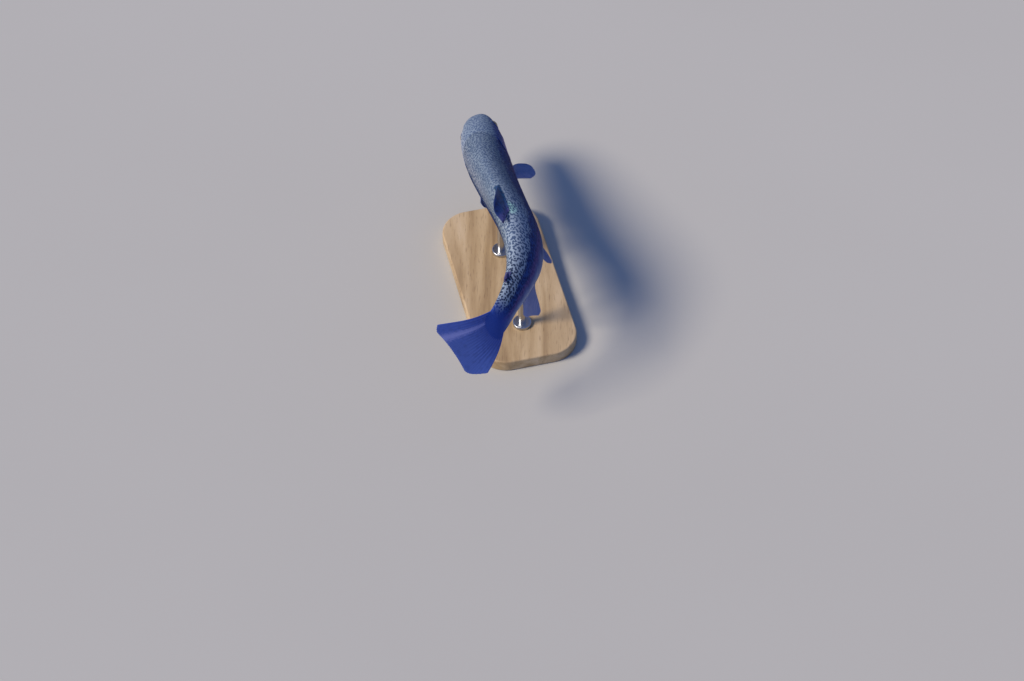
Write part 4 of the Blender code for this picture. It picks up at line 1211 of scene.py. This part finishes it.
# Layers over the flecked brass: a dark top, partly the iris's own dark dusting and partly painted
# shade under the socket's upper rim, a bright ring at the pupil, a dark rim, and the pupil.
for hex_code, amount, *window in (
    ("#2a2f3a", 0.9, top, -0.2, 0.7), ("#c9b27c", 0.8, from_pupil, 0.35, 0.10),
    ("#20242e", 1.0, from_pupil, 1.3, 1.9), ("#05060a", 1.0, from_pupil, 0.10, 0.0),
):
    iris = overlay(tree, iris, hex_code, amount, window)
tree.links.new(iris, shader.inputs["Base Color"])
print("eyes' material has", len(tree.nodes), "nodes")

# %% Glass eyes
EYE_RADIUS, EYE_DEPTH, EYE_PROUD = 0.0070, 0.0052, 0.0013
GLASS_FIT = 0.985  # the glass is this much smaller than its socket's form
IRIS_RADIUS = 0.0046
EYE_RINGS, EYE_TURNS = 40, 48
PUPIL, PUPIL_POINT = 2.55, 0.55  # mm, its radius and how much further its point reaches
LENS_STEP = 0.25  # mm the iris lies behind the lens


def eye_object(name, side):
    """A flattened glass ball that looks out along the cheek's own normal."""
    # The cheek's slope, from its half widths a little before, behind, above and below.
    step = 0.002
    z = EYE_HEIGHT * LENGTH
    widths = [
        float(half_width_at(np.array(EYE_STATION + ds * step), z + dz * step * LENGTH))
        for ds, dz in ((-1, 0), (1, 0), (0, 1), (0, -1))
    ]
    run = 2 * step * LENGTH
    axis = np.array(((widths[0] - widths[1]) / run, 1, (widths[3] - widths[2]) / run))
    axis /= np.linalg.norm(axis)
    upward = np.array((0, 0, 1.0)) - axis * axis[2]
    upward /= np.linalg.norm(upward)
    forward = np.array((-1.0, 0, 0)) + axis * axis[0]
    forward -= upward * np.dot(forward, upward)
    forward /= np.linalg.norm(forward)
    centre = eye_skin + axis * (EYE_PROUD - EYE_DEPTH)

    polar = np.linspace(0.02, np.pi - 0.02, EYE_RINGS)
    turn = 2 * np.pi * np.arange(EYE_TURNS) / EYE_TURNS
    polar, turn = np.meshgrid(polar, turn, indexing="ij")
    in_front = np.cos(polar) > 0
    radius = np.sin(polar) * EYE_RADIUS * GLASS_FIT
    out = np.cos(polar) * EYE_DEPTH * GLASS_FIT
    # The pupil's edge has a point towards the snout, and the lens stands out behind it.
    towards_snout = np.exp(-(np.angle(np.exp(1j * turn)) / 0.45) ** 2)
    from_edge = radius / MM - (PUPIL + PUPIL_POINT * towards_snout)
    behind = smooth(-0.2, 0.3, from_edge) * smooth(2.1, 0.9, from_edge) * in_front
    out = out - LENS_STEP * MM * behind
    round_axis = np.cos(turn)[..., None] * forward + np.sin(turn)[..., None] * upward
    local = centre + radius[..., None] * round_axis + out[..., None] * axis
    local = local * np.array((1.0, side, 1.0))

    i, j = np.indices((EYE_RINGS - 1, EYE_TURNS))
    i, j, after = i.ravel(), j.ravel(), (j.ravel() + 1) % EYE_TURNS
    upper, lower = i * EYE_TURNS, (i + 1) * EYE_TURNS
    faces = np.stack([upper + j, lower + j, lower + after, upper + after], axis=1)
    first, last = np.arange(EYE_TURNS), (EYE_RINGS - 1) * EYE_TURNS + np.arange(EYE_TURNS)
    faces = faces.tolist() + [first[::-1].tolist(), last.tolist()]
    # These orders are the left eye's, and the right eye is its mirror image.
    if side > 0:
        faces = [face[::-1] for face in faces]
    beside_pupil = np.where(in_front, from_edge, 9)  # 9 mm is beyond every ring of colour
    share = np.stack([beside_pupil, np.sin(turn) * radius / IRIS_RADIUS, turn], axis=-1)
    made = mesh_object(
        name + "_glass", lay(local), faces, glass_eye, eye_share=share.reshape(-1, 3),
    )
    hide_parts(name)


for name, side in (("eye_right", 1), ("eye_left", -1)):
    eye_object(name, side)

# %% [markdown]
# ## The stand
#
# The fish hangs over an oak board on two steel rods, each in a collar. Oak is sawn and oiled,
# with a roughness near 0.5, and shows long streaks along its grain and short dark pores. At
# this size real pores, a few tenths of a millimetre wide, would be lost, so they are drawn
# about 1 mm wide and the streaks about 17 mm. The rods are ground stainless steel, a metal
# with fine lines round it and a roughness of about 0.3. The solids' rods have twenty flats
# and the board's corners six, so finer ones are turned and swept here on the same
# measurements, and the rods' places are read from the solids' own boxes.

# %% Oak
BASE_TURN = math.radians(14)  # how far the board, and the grain with it, is turned
oiled_oak, tree, shader = new_material(
    "oiled_oak", IOR=1.50, Coat_Weight=0.08, Coat_Roughness=0.35,
)
where = add(tree, "TexCoord", out="Object")
turned = {"Vector": where, "Rotation": (0, 0, -BASE_TURN), "Scale": (1.0, 0.09, 1.0)}
turned = add(tree, "Mapping", turned)
figure = {"Vector": turned, "Scale": 60.0, "Detail": 4.0, "Distortion": 0.6}
figure = add(tree, "TexNoise", figure)
vessels = add(tree, "TexNoise", {"Vector": turned, "Scale": 850.0, "Detail": 3.0})
board = add(tree, "ValToRGB", {0: figure}, stops=(
    (0.30, "#8f7552"), (0.46, "#ab9069"), (0.58, "#bda37c"), (0.72, "#cab391"),
))
grained = overlay(tree, board, "#5f4128", 0.42, (vessels, 0.42, 0.30))
tree.links.new(grained, shader.inputs["Base Color"])
rough = add(tree, "MapRange", {0: figure, 3: 0.42, 4: 0.58})
tree.links.new(rough, shader.inputs["Roughness"])
open_pores = add(tree, "Bump", {"Strength": 0.3, "Distance": 0.0002, "Height": vessels})
tree.links.new(open_pores, shader.inputs["Normal"])
print("oak's material has", len(tree.nodes), "nodes")

# %% Steel
ground_steel, tree, shader = new_material("ground_stainless_steel", Metallic=1.0)
where = add(tree, "TexCoord", out="Object")
round_rod = add(tree, "Mapping", {"Vector": where, "Scale": (0.05, 0.05, 1.0)})
lines = add(tree, "TexNoise", {"Vector": round_rod, "Scale": 1600.0, "Detail": 2.0})
sheen = add(tree, "Mix", {0: lines, MIX_A: "#a3a6aa", MIX_B: "#c6c8ca"}, **OF_COLOURS)
tree.links.new(sheen, shader.inputs["Base Color"])
rough = add(tree, "MapRange", {0: lines, 3: 0.22, 4: 0.38})
tree.links.new(rough, shader.inputs["Roughness"])
print("steel's material has", len(tree.nodes), "nodes")


# %% A closed piece from level outlines
def stacked(name, outlines, finish, node_name):
    """A closed piece through level outlines, bottom to top, that have equal counts."""
    levels, around, _ = outlines.shape
    i, j = np.indices((levels - 1, around))
    i, j, after = i.ravel(), j.ravel(), (j.ravel() + 1) % around
    low, high = i * around, (i + 1) * around
    sides = np.stack([low + j, low + after, high + after, high + j], axis=1).tolist()
    ends = [tuple(range(around))[::-1], tuple(range((levels - 1) * around, levels * around))]
    made = mesh_object(name, outlines, sides + ends, finish)
    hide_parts(node_name)


ROUNDING_STEPS = 7
quarter = np.linspace(0, np.pi / 2, ROUNDING_STEPS)

# %% Rods with their collars
BASE_WIDTH, BASE_DEPTH, BASE_HEIGHT = 0.104, 0.214, 0.014
ROD_RADIUS, ROD_SIDES = 0.0038, 72
COLLAR_RADIUS, COLLAR_HEIGHT, COLLAR_ROUNDING = 0.0095, 0.0035, 0.0010
GAP = 0.00035  # between the collar and the board

seat = BASE_HEIGHT + GAP
collar_top = seat + COLLAR_HEIGHT
inset = COLLAR_ROUNDING * (1 - np.cos(quarter))
drop = COLLAR_ROUNDING * (1 - np.sin(quarter))
rounded = list(zip(COLLAR_RADIUS - inset, collar_top - drop))
turn = 2 * np.pi * np.arange(ROD_SIDES) / ROD_SIDES
for node_name in ("stand_rod_front", "stand_rod_rear"):
    low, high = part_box(node_name)
    profile = [(ROD_RADIUS, low.z), (ROD_RADIUS, seat), (COLLAR_RADIUS, seat)]
    profile += rounded + [(ROD_RADIUS, collar_top), (ROD_RADIUS, high.z)]
    radius, height = np.array(profile).T[:, :, None]
    x = (low.x + high.x) / 2 + radius * np.cos(turn)
    y = (low.y + high.y) / 2 + radius * np.sin(turn)
    outlines = np.stack([x, y, height + 0 * turn], axis=-1)
    stacked(node_name + "_turned", outlines, ground_steel, node_name)

# %% The board
BASE_CORNER, BASE_BEVEL = 0.030, 0.0018
CORNER_STEPS = 25

inset = BASE_BEVEL * (1 - np.sin(quarter))
rise = BASE_BEVEL * (1 - np.cos(quarter))
insets = np.concatenate([inset, inset[::-1]])
heights = np.concatenate([rise, BASE_HEIGHT - rise[::-1]])
starts = np.radians((0, 90, 180, 270))
corner_turn = np.concatenate([np.linspace(s, s + np.pi / 2, CORNER_STEPS) for s in starts])
corner_x = (BASE_WIDTH / 2 - BASE_CORNER) * np.repeat((1, -1, -1, 1), CORNER_STEPS)
corner_y = (BASE_DEPTH / 2 - BASE_CORNER) * np.repeat((1, 1, -1, -1), CORNER_STEPS)
outlines = []
for inset, z in zip(insets, heights):
    x = corner_x + (BASE_CORNER - inset) * np.cos(corner_turn)
    y = corner_y + (BASE_CORNER - inset) * np.sin(corner_turn)
    cos, sin = math.cos(BASE_TURN), math.sin(BASE_TURN)
    outlines.append(np.stack([x * cos - y * sin, x * sin + y * cos, z + 0 * x], axis=-1))
stacked("stand_board", np.array(outlines), oiled_oak, "stand_base")
